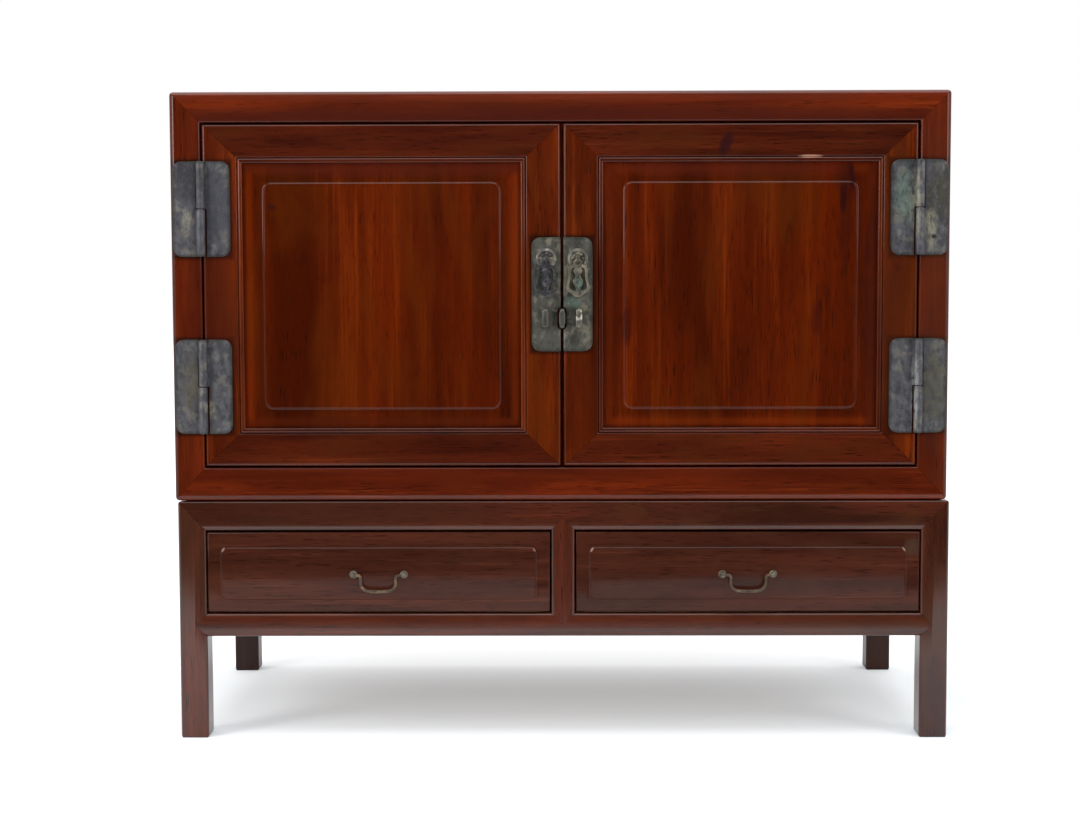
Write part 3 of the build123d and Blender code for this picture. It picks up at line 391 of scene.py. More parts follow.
# The polished woods: name, way of the grain, palette and what else sets them apart. A wood's
# place in the list seeds its figure.
BOTH_PLATES = [HINGE_FOLDS, LOCK_FOLDS]
POLISHED = {
    "case_upright": ("case wood, upright grain", Z, CASE, {"plates": [HINGE_FOLDS]}),
    "case_across": ("case wood, long grain", X, CASE, {}),
    "case_deep": ("case wood, grain front to back", Y, CASE, {}),
    "case_board": ("side and back boards", Z, PANEL, {}),
    "top_board": ("top board", X, PANEL, {}),
    "door_upright_left": ("left door stiles", Z, DOOR, {"streaks": 0.7, "plates": BOTH_PLATES}),
    "door_upright_right": ("right door stiles", Z, DOOR, {"streaks": 0.6, "plates": BOTH_PLATES}),
    "door_across_left": ("left door rails", X, DOOR_RAILS, {}),
    "door_across_right": ("right door rails", X, DOOR_RAILS, {}),
    "door_panel_left": ("left door panel", Z, PANEL, {"board": LEFT_BOARD}),
    "door_panel_right": ("right door panel", Z, PANEL, {"board": RIGHT_BOARD}),
    "stand_upright": ("stand wood, upright grain", Z, STAND, {}),
    "stand_across": ("stand wood, long grain", X, STAND, {}),
    "stand_deep": ("stand wood, grain front to back", Y, STAND, {}),
    "drawer_left": ("left drawer front", X, DRAWER, {}),
    "drawer_right": ("right drawer front", X, DRAWER, {}),
    "stand_rear": ("rear legs' wood", Z, SHADED_REAR, {})}
WOODS = {key: wood(name, grain, seed, marks=MARKS.get(key, ()), **palette, **more)
         for seed, (key, (name, grain, palette, more)) in enumerate(POLISHED.items(), 1)}

INNER, BOX = (rgb(104, 66, 42), rgb(146, 100, 66)), (rgb(140, 104, 68), rgb(176, 138, 96))
WOODS.update({
    "inner_deep": plain_wood("inner wood, grain front to back", [Y], *INNER, 1),
    "inner_across": plain_wood("inner wood, long grain", [X], *INNER, 2),
    "box_deep": plain_wood("runner wood", [Y], *BOX, 4),
    "box_across": plain_wood("drawer bottom wood", [X], rgb(132, 98, 64), rgb(170, 132, 92), 5),
    "box_walls": plain_wood("drawer box wood", [X, Y], *BOX, 6)})

# The brasses: name, tarnished, rubbed and bloomed colour, share of the bloom and of the rubbed
# spots, seed and, where they aren't the usual ones, density of the clouds, dullness and folds.
BRASSES = {
    "hinge": ("tarnished hinge brass", (92, 91, 97), (154, 146, 128), (116, 126, 120),
              0.3, 0.25, 1, 95.0, 0.48, HINGE_FOLDS),
    "plate": ("tarnished plate brass", (94, 92, 84), (164, 154, 132), (108, 124, 114),
              0.4, 0.35, 2, 95.0, 0.42, LOCK_FOLDS),
    "staple": ("staple brass", (92, 90, 84), (150, 142, 124), (98, 108, 98), 0.35, 0.4, 3),
    # The right staple's brass is a lighter copy of the staple's, rubbed bright nearly all over:
    # painted glints.
    "staple_bright": ("rubbed staple brass", (120, 116, 106), (214, 210, 196), (112, 124, 116),
                      0.2, 0.9, 3, 120.0),
    "pendant_left": ("left pendant brass", (66, 65, 70), (134, 128, 118), (80, 84, 84),
                     0.4, 0.4, 4, 150.0),
    "pendant_right": ("right pendant brass", (128, 120, 104), (184, 172, 148), (104, 130, 120),
                      0.3, 0.5, 5, 150.0),
    "bail": ("bail brass", (92, 78, 66), (150, 126, 96), (84, 76, 70), 0.4, 0.5, 6, 90.0),
    "ball": ("ball post metal", (104, 96, 86), (158, 146, 122), (90, 90, 82), 0.4, 0.4, 7, 120.0),
    "rosette_left": ("left rosette brass", (108, 104, 102), (188, 176, 152), (104, 110, 106),
                     0.3, 0.6, 9, 110.0),
    "rosette_right": ("right rosette brass", (110, 108, 100), (180, 170, 146), (106, 124, 114),
                      0.4, 0.5, 10, 110.0),
    "pin": ("pin brass", (70, 66, 60), (120, 108, 84), (80, 84, 76), 0.4, 0.3, 8)}
METALS = {key: patina(*brass, marks=MARKS.get(key, ())) for key, brass in BRASSES.items()}


# ------------------------------------------------------------------ shaping
def deselect():
    bpy.ops.object.select_all(action="DESELECT")


def take(piece):
    """Makes a piece the active one and the only one that is selected."""
    deselect()
    bpy.context.view_layer.objects.active = piece
    piece.select_set(True)


def settle(name):
    """Names the new primitive and puts its place and size into its mesh."""
    piece = bpy.context.object
    piece.name = piece.data.name = name
    bpy.ops.object.transform_apply(location=True, rotation=True, scale=True)
    return piece


def start_block(name, low, high):
    """A block between two corners."""
    deselect()
    low, high = Vector(low), Vector(high)
    bpy.ops.mesh.primitive_cube_add(size=1, location=(low + high) / 2, scale=high - low)
    return settle(name)


def start_ball(name, centre, half_sizes, segments, rings):
    """A flattened ball; its half sizes are in millimetres."""
    deselect()
    bpy.ops.mesh.primitive_uv_sphere_add(segments=segments, ring_count=rings, radius=MM,
                                         location=centre, scale=half_sizes)
    return settle(name)


def open_disc(name, centre, axis, radius, sides):
    """A flat disc that faces along an axis, opened for shaping with its face selected."""
    deselect()
    bpy.ops.mesh.primitive_circle_add(vertices=sides, radius=radius, fill_type="NGON",
                                      location=centre, rotation=FACING[axis])
    piece = settle(name)
    shape(piece)
    pick_all("FACE")
    return piece


def shape(piece):
    """Opens a piece for shaping."""
    take(piece)
    bpy.ops.object.mode_set(mode="EDIT")
    bpy.ops.mesh.select_all(action="DESELECT")


def close():
    bpy.ops.object.mode_set(mode="OBJECT")


def pick(kind, test):
    """Selects the vertices or edges of the open piece whose middle and run pass a test."""
    bpy.ops.mesh.select_mode(type=kind)
    bpy.ops.mesh.select_all(action="DESELECT")
    mesh = bmesh.from_edit_mesh(bpy.context.object.data)
    for item in mesh.verts if kind == "VERT" else mesh.edges:
        if kind == "VERT":
            middle, run = item.co, None
        else:
            start, end = (vertex.co for vertex in item.verts)
            middle, run = (start + end) / 2, (end - start).normalized()
        if test(middle, run):
            item.select = True
    mesh.select_flush_mode()
    bmesh.update_edit_mesh(bpy.context.object.data)


def pick_all(kind):
    """Selects all of the open piece, as its vertices or its faces."""
    bpy.ops.mesh.select_mode(type=kind)
    bpy.ops.mesh.select_all(action="SELECT")


def saw(point, normal, keep_both=False):
    """Cuts the open piece along a plane. What lies on the normal's side falls away."""
    bpy.ops.mesh.select_all(action="SELECT")
    bpy.ops.mesh.bisect(plane_co=point, plane_no=normal, use_fill=not keep_both,
                        clear_outer=not keep_both)


def round_edges(radius, segments):
    bpy.ops.mesh.bevel(offset=radius, segments=segments, profile=0.5, affect="EDGES",
                       clamp_overlap=False)


def turn_outwards():
    bpy.ops.mesh.select_all(action="SELECT")
    bpy.ops.mesh.normals_make_consistent(inside=False)


def crown(low, high, run, face_axis, side, margins, rise):
    """Planes a face of the open bar so that it falls away softly towards its arrises."""
    across = 3 - run - face_axis
    start, end = low[across] + margins[0], high[across] - margins[1]
    middle, half = (low[across] + high[across]) / 2, (high[across] - low[across]) / 2
    places = [middle + (end - start) / 2 * share + (start + end - 2 * middle) / 2
              for share in CROWN_LINES]
    for place in places:
        saw(AXES[across] * place, AXES[across], keep_both=True)
    face = at_end(side, low[face_axis], high[face_axis])
    for place in places + [low[across], high[across]]:
        pick("VERT", lambda at, _: abs(at[face_axis] - face) < 0.1 * MM
             and abs(at[across] - place) < 0.02 * MM)
        drop = -side * rise * abs((place - middle) / half) ** 3
        bpy.ops.transform.translate(value=AXES[face_axis] * drop)


def bar(name, low, high, run, crowned, arrises, cuts=(), rise=CROWN):
    """A planed bar: crowned faces, rounded arrises and sawn ends.

    crowned holds (axis, side) of each show face, arrises ((axis, side), (axis, side), radius).
    """
    low, high = Vector(low), Vector(high)
    piece = start_block(name, low, high)
    shape(piece)
    for face_axis, side in crowned:
        across = 3 - run - face_axis
        margins = [1.0 * MM, 1.0 * MM]
        for one, other, radius in arrises:
            for (axis, way), (other_axis, other_way) in ((one, other), (other, one)):
                if (axis, way) == (face_axis, side) and other_axis == across:
                    margins[at_end(other_way, 0, 1)] = radius + 0.9 * MM
        crown(low, high, run, face_axis, side, margins, rise)
    for one, other, radius in arrises:
        outward = AXES[one[0]] * one[1] + AXES[other[0]] * other[1]
        mesh = bmesh.from_edit_mesh(piece.data)
        furthest = max(outward.dot(vertex.co) for vertex in mesh.verts)
        pick("EDGE", lambda at, way: abs(way[run]) > 0.99 and outward.dot(at) > furthest - SAME)
        round_edges(radius, 5)
    for point, normal in cuts:
        saw(point, normal)
    close()
    return piece


def mitre(corner, size, inward, own, other):
    """The saw cut at a corner between the bar that runs along own and the one along other."""
    normal = Vector((0, 0, 0))
    normal[own] = -inward[own] / size[own]
    normal[other] = inward[other] / size[other]
    normal.normalize()
    return (Vector(corner) - normal * MITRE, normal)


def pointed_cuts(x, z, tip, play=0.0):
    """The two saw cuts that point a bar's end: tip holds the axis it points along and which way."""
    axis, way = tip
    ranges = {X: x, Z: z}
    other = Z if axis == X else X
    point = Vector((0, 0, 0))
    point[axis] = at_end(way, *ranges[axis])
    point[other] = sum(ranges[other]) / 2
    cuts = []
    for side in (-1, 1):
        normal = (AXES[axis] * way + AXES[other] * side).normalized()
        cuts.append((point - normal * play, normal))
    return cuts


def start_pointed(name, x, y, z, tip):
    """A block with a pointed end; tip is the axis of the point and its way."""
    piece = start_block(name, (x[0], y[0], z[0]), (x[1], y[1], z[1]))
    shape(piece)
    for cut in pointed_cuts(x, z, tip):
        saw(*cut)
    close()
    return piece


def cut_away(piece, cutter):
    """Takes the cutter's shape out of a piece."""
    take(piece)
    cut = piece.modifiers.new("cut", "BOOLEAN")
    cut.operation, cut.solver, cut.object = "DIFFERENCE", "EXACT", cutter
    bpy.ops.object.modifier_apply(modifier="cut")
    bpy.data.objects.remove(cutter)


def paint(piece, material):
    piece.data.materials.clear()
    piece.data.materials.append(material)


def finish_piece(piece, body, material, nodes):
    """Smooths a piece, gives it its finish and its body, and replaces plain nodes."""
    take(piece)
    bpy.ops.object.shade_smooth_by_angle(angle=math.radians(38))
    paint(piece, material)
    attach(piece, body)
    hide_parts(*nodes)


def join(name, pieces):
    deselect()
    for piece in pieces:
        piece.select_set(True)
    bpy.context.view_layer.objects.active = pieces[0]
    bpy.ops.object.join()
    piece = bpy.context.object
    piece.name = piece.data.name = name
    return piece


# ------------------------------------------------------------------ the case's frame
def case_frame(low, high, post, rails, arris, sight, rise, names, woods):
    """The posts and rails of a three-way mitred case, with rounded outer arrises and corners.

    rails holds the heights of the top and the bottom rails, by their side.
    """
    def rounding(x_side, z_side):
        """The cuts that round a corner of the case as it is seen from the front."""
        outward = Vector((x_side, 0, z_side))
        point = Vector((at_end(x_side, low[X], high[X]), 0, at_end(z_side, low[Z], high[Z])))
        cuts = []
        for angle in (22.5, 45, 67.5):
            normal = Vector((x_side * math.cos(math.radians(angle)), 0,
                             z_side * math.sin(math.radians(angle))))
            cuts.append((point - outward * arris + normal * arris, normal))
        return cuts

    def end_cuts(run, sides):
        """The cuts at a bar's end: two mitres and, on posts and long rails, the round corner."""
        point = [at_end(side, low[axis], high[axis]) for axis, side in enumerate(sides)]
        at = (point, (post, post, rails[sides[Z]]), [-side for side in sides])
        cuts = [mitre(*at, run, other) for other in (X, Y, Z) if other != run]
        return cuts + (rounding(sides[X], sides[Z]) if run != Y else [])

    def span(axis, side, width):
        return at_end(side, (low[axis], low[axis] + width), (high[axis] - width, high[axis]))

    made = {}
    for kind, run, face, edge in (("posts", Z, Y, X), ("rails", X, Y, Z), ("ends", Y, X, Z)):
        for edge_side in rails if edge == Z else (-1, 1):
            for face_side in (-1, 1):
                bar_low, bar_high, cuts = low.copy(), high.copy(), []
                bar_low[face], bar_high[face] = span(face, face_side, post)
                bar_low[edge], bar_high[edge] = span(edge, edge_side,
                                                     rails[edge_side] if edge == Z else post)
                sides = [0, 0, 0]
                sides[face], sides[edge] = face_side, edge_side
                for end_side in rails if run == Z else (-1, 1):
                    sides[run] = end_side
                    cuts += end_cuts(run, sides)
                shown, beside = (face, face_side), (edge, edge_side)
                made.setdefault((kind, face_side if face == Y else 0), []).append(
                    bar(kind, bar_low, bar_high, run, [shown, beside],
                        [(shown, beside, arris), (shown, (edge, -edge_side), sight)], cuts, rise))
    for key, (name, nodes) in names.items():
        finish_piece(join(name, made[key]), "root", WOODS[woods[key[0]]], nodes)


POST, TOP_RAIL, BOTTOM_RAIL = 42 * MM, 42 * MM, 46 * MM
posts_low, posts_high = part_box("cabinet_front_posts")
case_low = Vector((posts_low.x, posts_low.y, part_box("cabinet_bottom_rail")[0].z))
case_high = Vector((posts_high.x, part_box("cabinet_rear_posts")[1].y,
                    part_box("cabinet_top_rail")[1].z))
case_frame(case_low, case_high, POST, {1: TOP_RAIL, -1: BOTTOM_RAIL}, arris=6 * MM,
           sight=2.8 * MM, rise=2.4 * MM,
           woods={"posts": "case_upright", "rails": "case_across", "ends": "case_deep"}, names={
    ("posts", -1): ("cabinet_front_posts_wood", ["cabinet_front_posts"]),
    ("posts", 1): ("cabinet_rear_posts_wood", ["cabinet_rear_posts"]),
    ("rails", -1): ("cabinet_front_rails_wood", ["cabinet_top_rail", "cabinet_bottom_rail"]),
    ("rails", 1): ("cabinet_rear_rails_wood", ["cabinet_rear_rails"]),
    ("ends", 0): ("cabinet_end_rails_wood", ["cabinet_side_rails"])})


# ------------------------------------------------------------------ the stand's frame
LEG, STAND_RAIL, LOWER_RAIL, CENTRE_POST = 38.5 * MM, 40.5 * MM, 32.5 * MM, 33 * MM
TIP, SOCKET = 12 * MM, 20 * MM   # depth of the pointed shoulders, reach of the cut they sit in
THIN, SOFT, ROUND, FULL = 3 * MM, 4 * MM, 4.5 * MM, 5 * MM       # radii of the arrises
legs_low, legs_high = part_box("stand_front_legs")
stand_low = Vector((legs_low.x, legs_low.y, 0.0))
stand_high = Vector((legs_high.x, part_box("stand_rear_legs")[1].y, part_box("stand_top_rail")[1].z))
lower_low, lower_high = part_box("stand_lower_rail")
stand_middle = (stand_low.x + stand_high.x) / 2
leg_inner = (stand_low.x + LEG, stand_high.x - LEG)
front_y, shoulder_y = stand_low.y, (stand_low.y - MM, stand_low.y + TIP)
lower_z = (lower_low.z, lower_high.z)
opening_z = (lower_high.z, stand_high.z - STAND_RAIL)
post_x = (stand_middle - CENTRE_POST / 2, stand_middle + CENTRE_POST / 2)
rail_tip, post_tip = LOWER_RAIL / 2, CENTRE_POST / 2


def stand_corner(x_side, y_side):
    point = (at_end(x_side, stand_low.x, stand_high.x), at_end(y_side, stand_low.y, stand_high.y),
             stand_high.z)
    return point, (LEG, LEG, STAND_RAIL), (-x_side, -y_side, -1)


def leg(x_side, y_side):
    """A square leg with a mitred top; the front ones take the lower rail's pointed shoulders."""
    x0 = at_end(x_side, stand_low.x, stand_high.x - LEG)
    y0 = at_end(y_side, stand_low.y, stand_high.y - LEG)
    at = stand_corner(x_side, y_side)
    arrises = [((X, x_side), (Y, y_side), SOFT), ((X, -x_side), (Y, y_side), SOFT),
               ((X, x_side), (Y, -y_side), THIN)]
    piece = bar("leg", (x0, y0, 0), (x0 + LEG, y0 + LEG, stand_high.z), Z,
                [(Y, y_side), (X, x_side)], arrises, [mitre(*at, Z, X), mitre(*at, Z, Y)],
                rise=0.8 * MM)
    shape(piece)
    pick("EDGE", lambda spot, run: spot.z < 0.05 * MM and abs(run.z) < 0.1)
    round_edges(THIN, 3)
    close()
    if y_side < 0:
        inner = at_end(x_side, *leg_inner)
        x = sorted((inner + x_side * (rail_tip + MITRE), inner - x_side * SOCKET))
        cut_away(piece, start_pointed("socket", x, shoulder_y, lower_z, (X, x_side)))
    return piece


def top_bar(name, low, high, run, face, corners):
    """A rail of the stand's top frame; face is the axis and the side that it shows."""
    cuts = [mitre(*at, run, other) for at in corners for other in (X, Y, Z) if other != run]
    return bar(name, low, high, run, [face, (Z, 1)],
               [(face, (Z, 1), THIN), (face, (Z, -1), FULL)], cuts)


def lower_bar(name, low, high, run, face, cuts=(), rise=CROWN):
    """A rail of the stand's lower frame, round above and below."""
    return bar(name, low, high, run, [face], [(face, (Z, way), ROUND) for way in (1, -1)], cuts,
               rise)


# The rear legs take the darker wood, painted shade.
for y_side, name, material in ((-1, "front", "stand_upright"), (1, "rear", "stand_rear")):
    legs = join(f"stand_{name}_legs_wood", [leg(-1, y_side), leg(1, y_side)])
    finish_piece(legs, "root", WOODS[material], [f"stand_{name}_legs"])

top_rails, lower_rails, end_rails = {}, {}, []
for y_side in (-1, 1):
    y0 = at_end(y_side, stand_low.y, stand_high.y - LEG)
    top_rails[y_side] = top_bar(
        "top rail", (stand_low.x, y0, opening_z[1]), (stand_high.x, y0 + LEG, stand_high.z), X,
        (Y, y_side), [stand_corner(x_side, y_side) for x_side in (-1, 1)])
    x, cuts = leg_inner, []
    if y_side < 0:                # the front rail's ends are pointed and reach into the legs
        x = (leg_inner[0] - rail_tip, leg_inner[1] + rail_tip)
        cuts = [cut for way in (-1, 1) for cut in pointed_cuts(x, lower_z, (X, way), MITRE / 2)]
    lower_rails[y_side] = lower_bar(
        "lower rail", (x[0], y0, lower_z[0]), (x[1], y0 + LEG, lower_z[1]), X, (Y, y_side), cuts,
        rise=2.4 * MM)
for way in (-1, 1):
    inner = at_end(way, *leg_inner)
    x = sorted((inner, inner + way * (rail_tip + MM)))
    cut_away(lower_rails[-1], start_block(
        "behind the point", (x[0], front_y + TIP, lower_z[0] - MM),
        (x[1], front_y + LEG + MM, lower_z[1] + MM)))
for x_side in (-1, 1):
    x0 = at_end(x_side, stand_low.x, stand_high.x - LEG)
    end_rails.append(top_bar(
        "end top rail", (x0, stand_low.y, opening_z[1]), (x0 + LEG, stand_high.y, stand_high.z), Y,
        (X, x_side), [stand_corner(x_side, y_side) for y_side in (-1, 1)]))
    end_rails.append(lower_bar(
        "end lower rail", (x0, stand_low.y + LEG, lower_z[0]),
        (x0 + LEG, stand_high.y - LEG, lower_z[1]), Y, (X, x_side)))
tall_z = (opening_z[0] - post_tip, opening_z[1] + post_tip)
post = bar("centre post", (post_x[0], front_y, tall_z[0]), (post_x[1], front_y + LEG, tall_z[1]), Z,
           [(Y, -1)], [((Y, -1), (X, way), ROUND) for way in (-1, 1)],
           [cut for way in (-1, 1) for cut in pointed_cuts(post_x, tall_z, (Z, way), MITRE / 2)])
for way, rail in ((-1, lower_rails[-1]), (1, top_rails[-1])):
    edge = at_end(way, *opening_z)
    z = sorted((edge, edge + way * (post_tip + MM)))
    cut_away(post, start_block("behind the point", (post_x[0] - MM, front_y + TIP, z[0]),
                               (post_x[1] + MM, front_y + LEG + MM, z[1])))
    z = sorted((edge - way * SOCKET, edge + way * (post_tip + MITRE)))
    cut_away(rail, start_pointed("socket", post_x, shoulder_y, z, (Z, way)))
finish_piece(join("stand_front_rails_wood", [top_rails[-1], lower_rails[-1]]), "root",
             WOODS["stand_across"], ["stand_top_rail", "stand_lower_rail"])
finish_piece(join("stand_rear_rails_wood", [top_rails[1], lower_rails[1]]), "root",
             WOODS["stand_across"], ["stand_rear_rails"])
finish_piece(join("stand_end_rails_wood", end_rails), "root",
             WOODS["stand_deep"], ["stand_side_rails"])
post.name = post.data.name = "stand_centre_post_wood"
finish_piece(post, "root", WOODS["stand_upright"], ["stand_centre_post"])


# ------------------------------------------------------------------ raised panels
# How far in and how far up each line of a field's rising edge lies, in millimetres: a shallow
# hollow, a small round and the flat field.
DOOR_EDGE = [(2.8, 0.05), (2.5, 0.2), (2.0, 0.35), (1.2, 0.5), (0.6, 0.5), (0.5, 0.45), (0.4, 0.3),
             (0.5, 0.15)]
DRAWER_EDGE = [(1.4, 0.05), (1.3, 0.2), (1.1, 0.4), (0.6, 0.45), (0.4, 0.45), (0.3, 0.3),
               (0.4, 0.15)]


def raised_field(low, high, border, base, corner, steps):
    """A field with round corners that rises from a board's border.

    border holds how wide the board stays flat on the left, on the right, below and above.
    """
    x0, x1 = low[X] + border[0], high[X] - border[1]
    z0, z1 = low[Z] + border[2], high[Z] - border[3]
    deselect()
    bpy.ops.mesh.primitive_plane_add(size=1, location=((x0 + x1) / 2, base, (z0 + z1) / 2),
                                     rotation=FACING[Y])
    bpy.context.object.scale = (x1 - x0, z1 - z0, 1)
    field = settle("field")
    shape(field)
    pick_all("VERT")
    bpy.ops.mesh.bevel(offset=corner, segments=10, affect="VERTICES")
    pick_all("FACE")
    for inward, upward in steps:
        bpy.ops.mesh.inset(thickness=inward * MM, depth=upward * MM)
    close()
    return field


def panel_board(name, low, high, border, rise, corner, steps, arris):
    """A board whose middle is raised; its own edges are eased."""
    base = low.y + rise
    board = start_block(name, (low[X], base, low[Z]), high)
    shape(board)
    pick("EDGE", lambda at, run: abs(at.y - base) < SAME and abs(run.y) < 0.1)
    round_edges(arris, 3)
    close()
    return join(name, [board, raised_field(low, high, border, base, corner, steps)])


# ------------------------------------------------------------------ doors
DOOR_STILE, DOOR_RAIL, BEAD = 54.5 * MM, 52.5 * MM, 7 * MM
EDGE_ROUND, SIGHT_ROUND, BEAD_ROUND = 3.2 * MM, 2.6 * MM, 3.3 * MM
BEAD_SINK = 0.4 * MM             # how far the bead stays behind the face
TONGUE = 6 * MM                  # the panel's edge, hidden in the frame's groove
CASE_X = (case_low.x + case_high.x) / 2
MEETING_X = CASE_X + 2.7 * MM    # the line between the doors, off the case's middle
WOOD_FACE = case_low.y           # the doors' and frames' front
LOCK_Z, PULL_Z = 580.2 * MM, 661.2 * MM
NOTCH_WIDE, NOTCH_TALL, NOTCH_END = 6.25 * MM, 15.5 * MM, 6.2 * MM   # half sizes, end's radius


def lock_notch():
    """The long round hole in the plates and stiles through which the middle staple comes."""
    notch = start_block(
        "notch", (MEETING_X - NOTCH_WIDE, WOOD_FACE - 4 * MM, LOCK_Z - NOTCH_TALL),
        (MEETING_X + NOTCH_WIDE, WOOD_FACE + 30 * MM, LOCK_Z + NOTCH_TALL))
    shape(notch)
    pick("EDGE", lambda at, run: abs(run.y) > 0.9)
    round_edges(NOTCH_END, 8)
    close()
    return notch


def beaded_bar(low, high, run, bead_side, cuts):
    """A door bar with a bead along its inner edge; bead_side is -1 or 1 across the bar."""
    across = 3 - run - Y
    flat_low, flat_high, bead_low, bead_high = Vector(low), Vector(high), Vector(low), Vector(high)
    if bead_side > 0:
        flat_high[across] = bead_low[across] = high[across] - BEAD
    else:
        flat_low[across] = bead_high[across] = low[across] + BEAD
    flat = bar("flat", flat_low, flat_high, run, [(Y, -1)],
               [((Y, -1), (across, -bead_side), EDGE_ROUND),
                ((Y, -1), (across, bead_side), SIGHT_ROUND)], cuts)
    bead_low.y += BEAD_SINK
    bead = bar("bead", bead_low, bead_high, run, [],
               [((Y, -1), (across, way), BEAD_ROUND) for way in (-1, 1)], cuts)
    return [flat, bead]


for side, name in SIDES.items():
    low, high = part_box(f"{name}_door_stiles")
    outer, inner = (low.x, high.x) if side < 0 else (high.x, low.x)
    size = (DOOR_STILE, high.y - low.y, DOOR_RAIL)
    stiles, rails = [], []
    for edge, way in ((outer, -side), (inner, side)):
        x0, x1 = sorted((edge, edge + way * DOOR_STILE))
        cuts = [mitre((edge, low.y, z), size, (way, 1, z_way), Z, X)
                for z, z_way in ((low.z, 1), (high.z, -1))]
        stiles += beaded_bar((x0, low.y, low.z), (x1, high.y, high.z), Z, way, cuts)
    for edge, way in ((low.z, 1), (high.z, -1)):
        z0, z1 = sorted((edge, edge + way * DOOR_RAIL))
        cuts = [mitre((x, low.y, edge), size, (x_way, 1, way), X, Z)
                for x, x_way in ((outer, -side), (inner, side))]
        rails += beaded_bar((low.x, low.y, z0), (high.x, high.y, z1), X, way, cuts)
    cut_away(stiles[2], lock_notch())        # the flat of the meeting stile
    finish_piece(join(f"{name}_door_stiles_wood", stiles), f"{name}_door",
                 WOODS[f"door_upright_{name}"], [f"{name}_door_stiles"])
    finish_piece(join(f"{name}_door_rails_wood", rails), f"{name}_door",
                 WOODS[f"door_across_{name}"], [f"{name}_door_rails"])
    panel = panel_board(f"{name}_door_panel_wood", *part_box(f"{name}_door_panel"),
                        [TONGUE + 19 * MM] * 4, rise=2.5 * MM, corner=20 * MM, steps=DOOR_EDGE,
                        arris=0.5 * MM)
    finish_piece(panel, f"{name}_door", WOODS[f"door_panel_{name}"],
                 [f"{name}_door_panel"])

for name in SIDES.values():
    front = panel_board(f"{name}_drawer_front_wood", *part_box(f"{name}_drawer_front"),
                        (14.5 * MM, 14.5 * MM, 13 * MM, 17 * MM), rise=2.0 * MM, corner=13 * MM,
                        steps=DRAWER_EDGE, arris=2.0 * MM)
    finish_piece(front, f"{name}_drawer", WOODS[f"drawer_{name}"],
                 [f"{name}_drawer_front"])


# ------------------------------------------------------------------ metalwork
SHEET, SINK = 2 * MM, 1.4 * MM   # the plates' height over the wood, and how deep they are let in
PLATE_FACE = WOOD_FACE - SHEET
PLATE_CORNER, PLATE_RIM = 12.5 * MM, 0.8 * MM
LOCK_PLATE = (535.2 * MM, 690.2 * MM)                 # its lower and upper edge
LOCK_PLATE_WIDE, LOCK_PLATE_GAP = 39.5 * MM, 2 * MM   # a half's width and gap to the meeting line
HINGE_AXIS, HINGE_LEAF, HINGE_HEIGHT = 486.9 * MM, 39 * MM, 129 * MM
HINGE_LOWS = (423.2 * MM, 664.8 * MM)                 # the lower edges of the hinges
BARREL, BARREL_ROOM = 6 * MM, 7 * MM                  # the pin's height over the wood, and room
STAPLE_OUT, STAPLE_WIDE = 23 * MM, 8.5                # from the meeting line; width in millimetres
PULL_OUT = 21.5 * MM                                  # from the meeting line
EYE_Y, EYE_RADIUS, EYE_WIRE = PLATE_FACE - 8.1 * MM, 5.6 * MM, 1.3   # the wire in millimetres
BAIL_Y, BAIL_Z, BALL_OUT = WOOD_FACE - 7 * MM, 228 * MM, 35 * MM


def turned(name, centre, axis, stations, sides=28):
    """A piece from the lathe; stations are (place along the axis, radius) in millimetres."""
    centre = Vector(centre)
    place, radius = stations[0]
    piece = open_disc(name, centre + AXES[axis] * place * MM, axis, radius * MM, sides)
    for (before, old), (place, radius) in zip(stations, stations[1:]):
        bpy.ops.mesh.extrude_region_move(
            TRANSFORM_OT_translate={"value": AXES[axis] * (place - before) * MM})
        bpy.ops.transform.resize(value=(radius / old,) * 3,
                                 center_override=centre + AXES[axis] * place * MM)
    turn_outwards()
    close()
    return piece


def drawn(name, start, axis, size, moves, sides):
    """A bar drawn along a path from a round face of the given size, in millimetres.

    Moves are ("on", way), ("bend", centre, axis, degrees by the right hand) and ("swell", factors).
    """
    piece = open_disc(name, Vector(start) * MM, axis, MM, sides)
    bpy.ops.transform.resize(value=size, center_override=Vector(start) * MM)
    for kind, *values in moves:
        if kind == "on":
            bpy.ops.mesh.extrude_region_move(
                TRANSFORM_OT_translate={"value": Vector(values[0]) * MM})
        elif kind == "bend":
            centre, about, degrees = values
            bpy.ops.mesh.spin(steps=6, dupli=False, angle=-math.radians(degrees),
                              center=Vector(centre) * MM, axis=AXES[about])
        else:
            mesh = bmesh.from_edit_mesh(piece.data)
            face = [face for face in mesh.faces if face.select][0]
            bpy.ops.transform.resize(value=values[0], center_override=face.calc_center_median())
    turn_outwards()
    close()
    return piece


def uneven(piece, size, depth):
    """Hand-made unevenness: small swells over the whole piece."""
    clouds = bpy.data.textures.new("swells", "CLOUDS")
    clouds.noise_scale, clouds.noise_depth = size, 2
    take(piece)
    swell = piece.modifiers.new("swells", "DISPLACE")
    swell.texture, swell.strength, swell.mid_level = clouds, depth, 0.55
    swell.texture_coords = "LOCAL"
    bpy.ops.object.modifier_apply(modifier="swells")


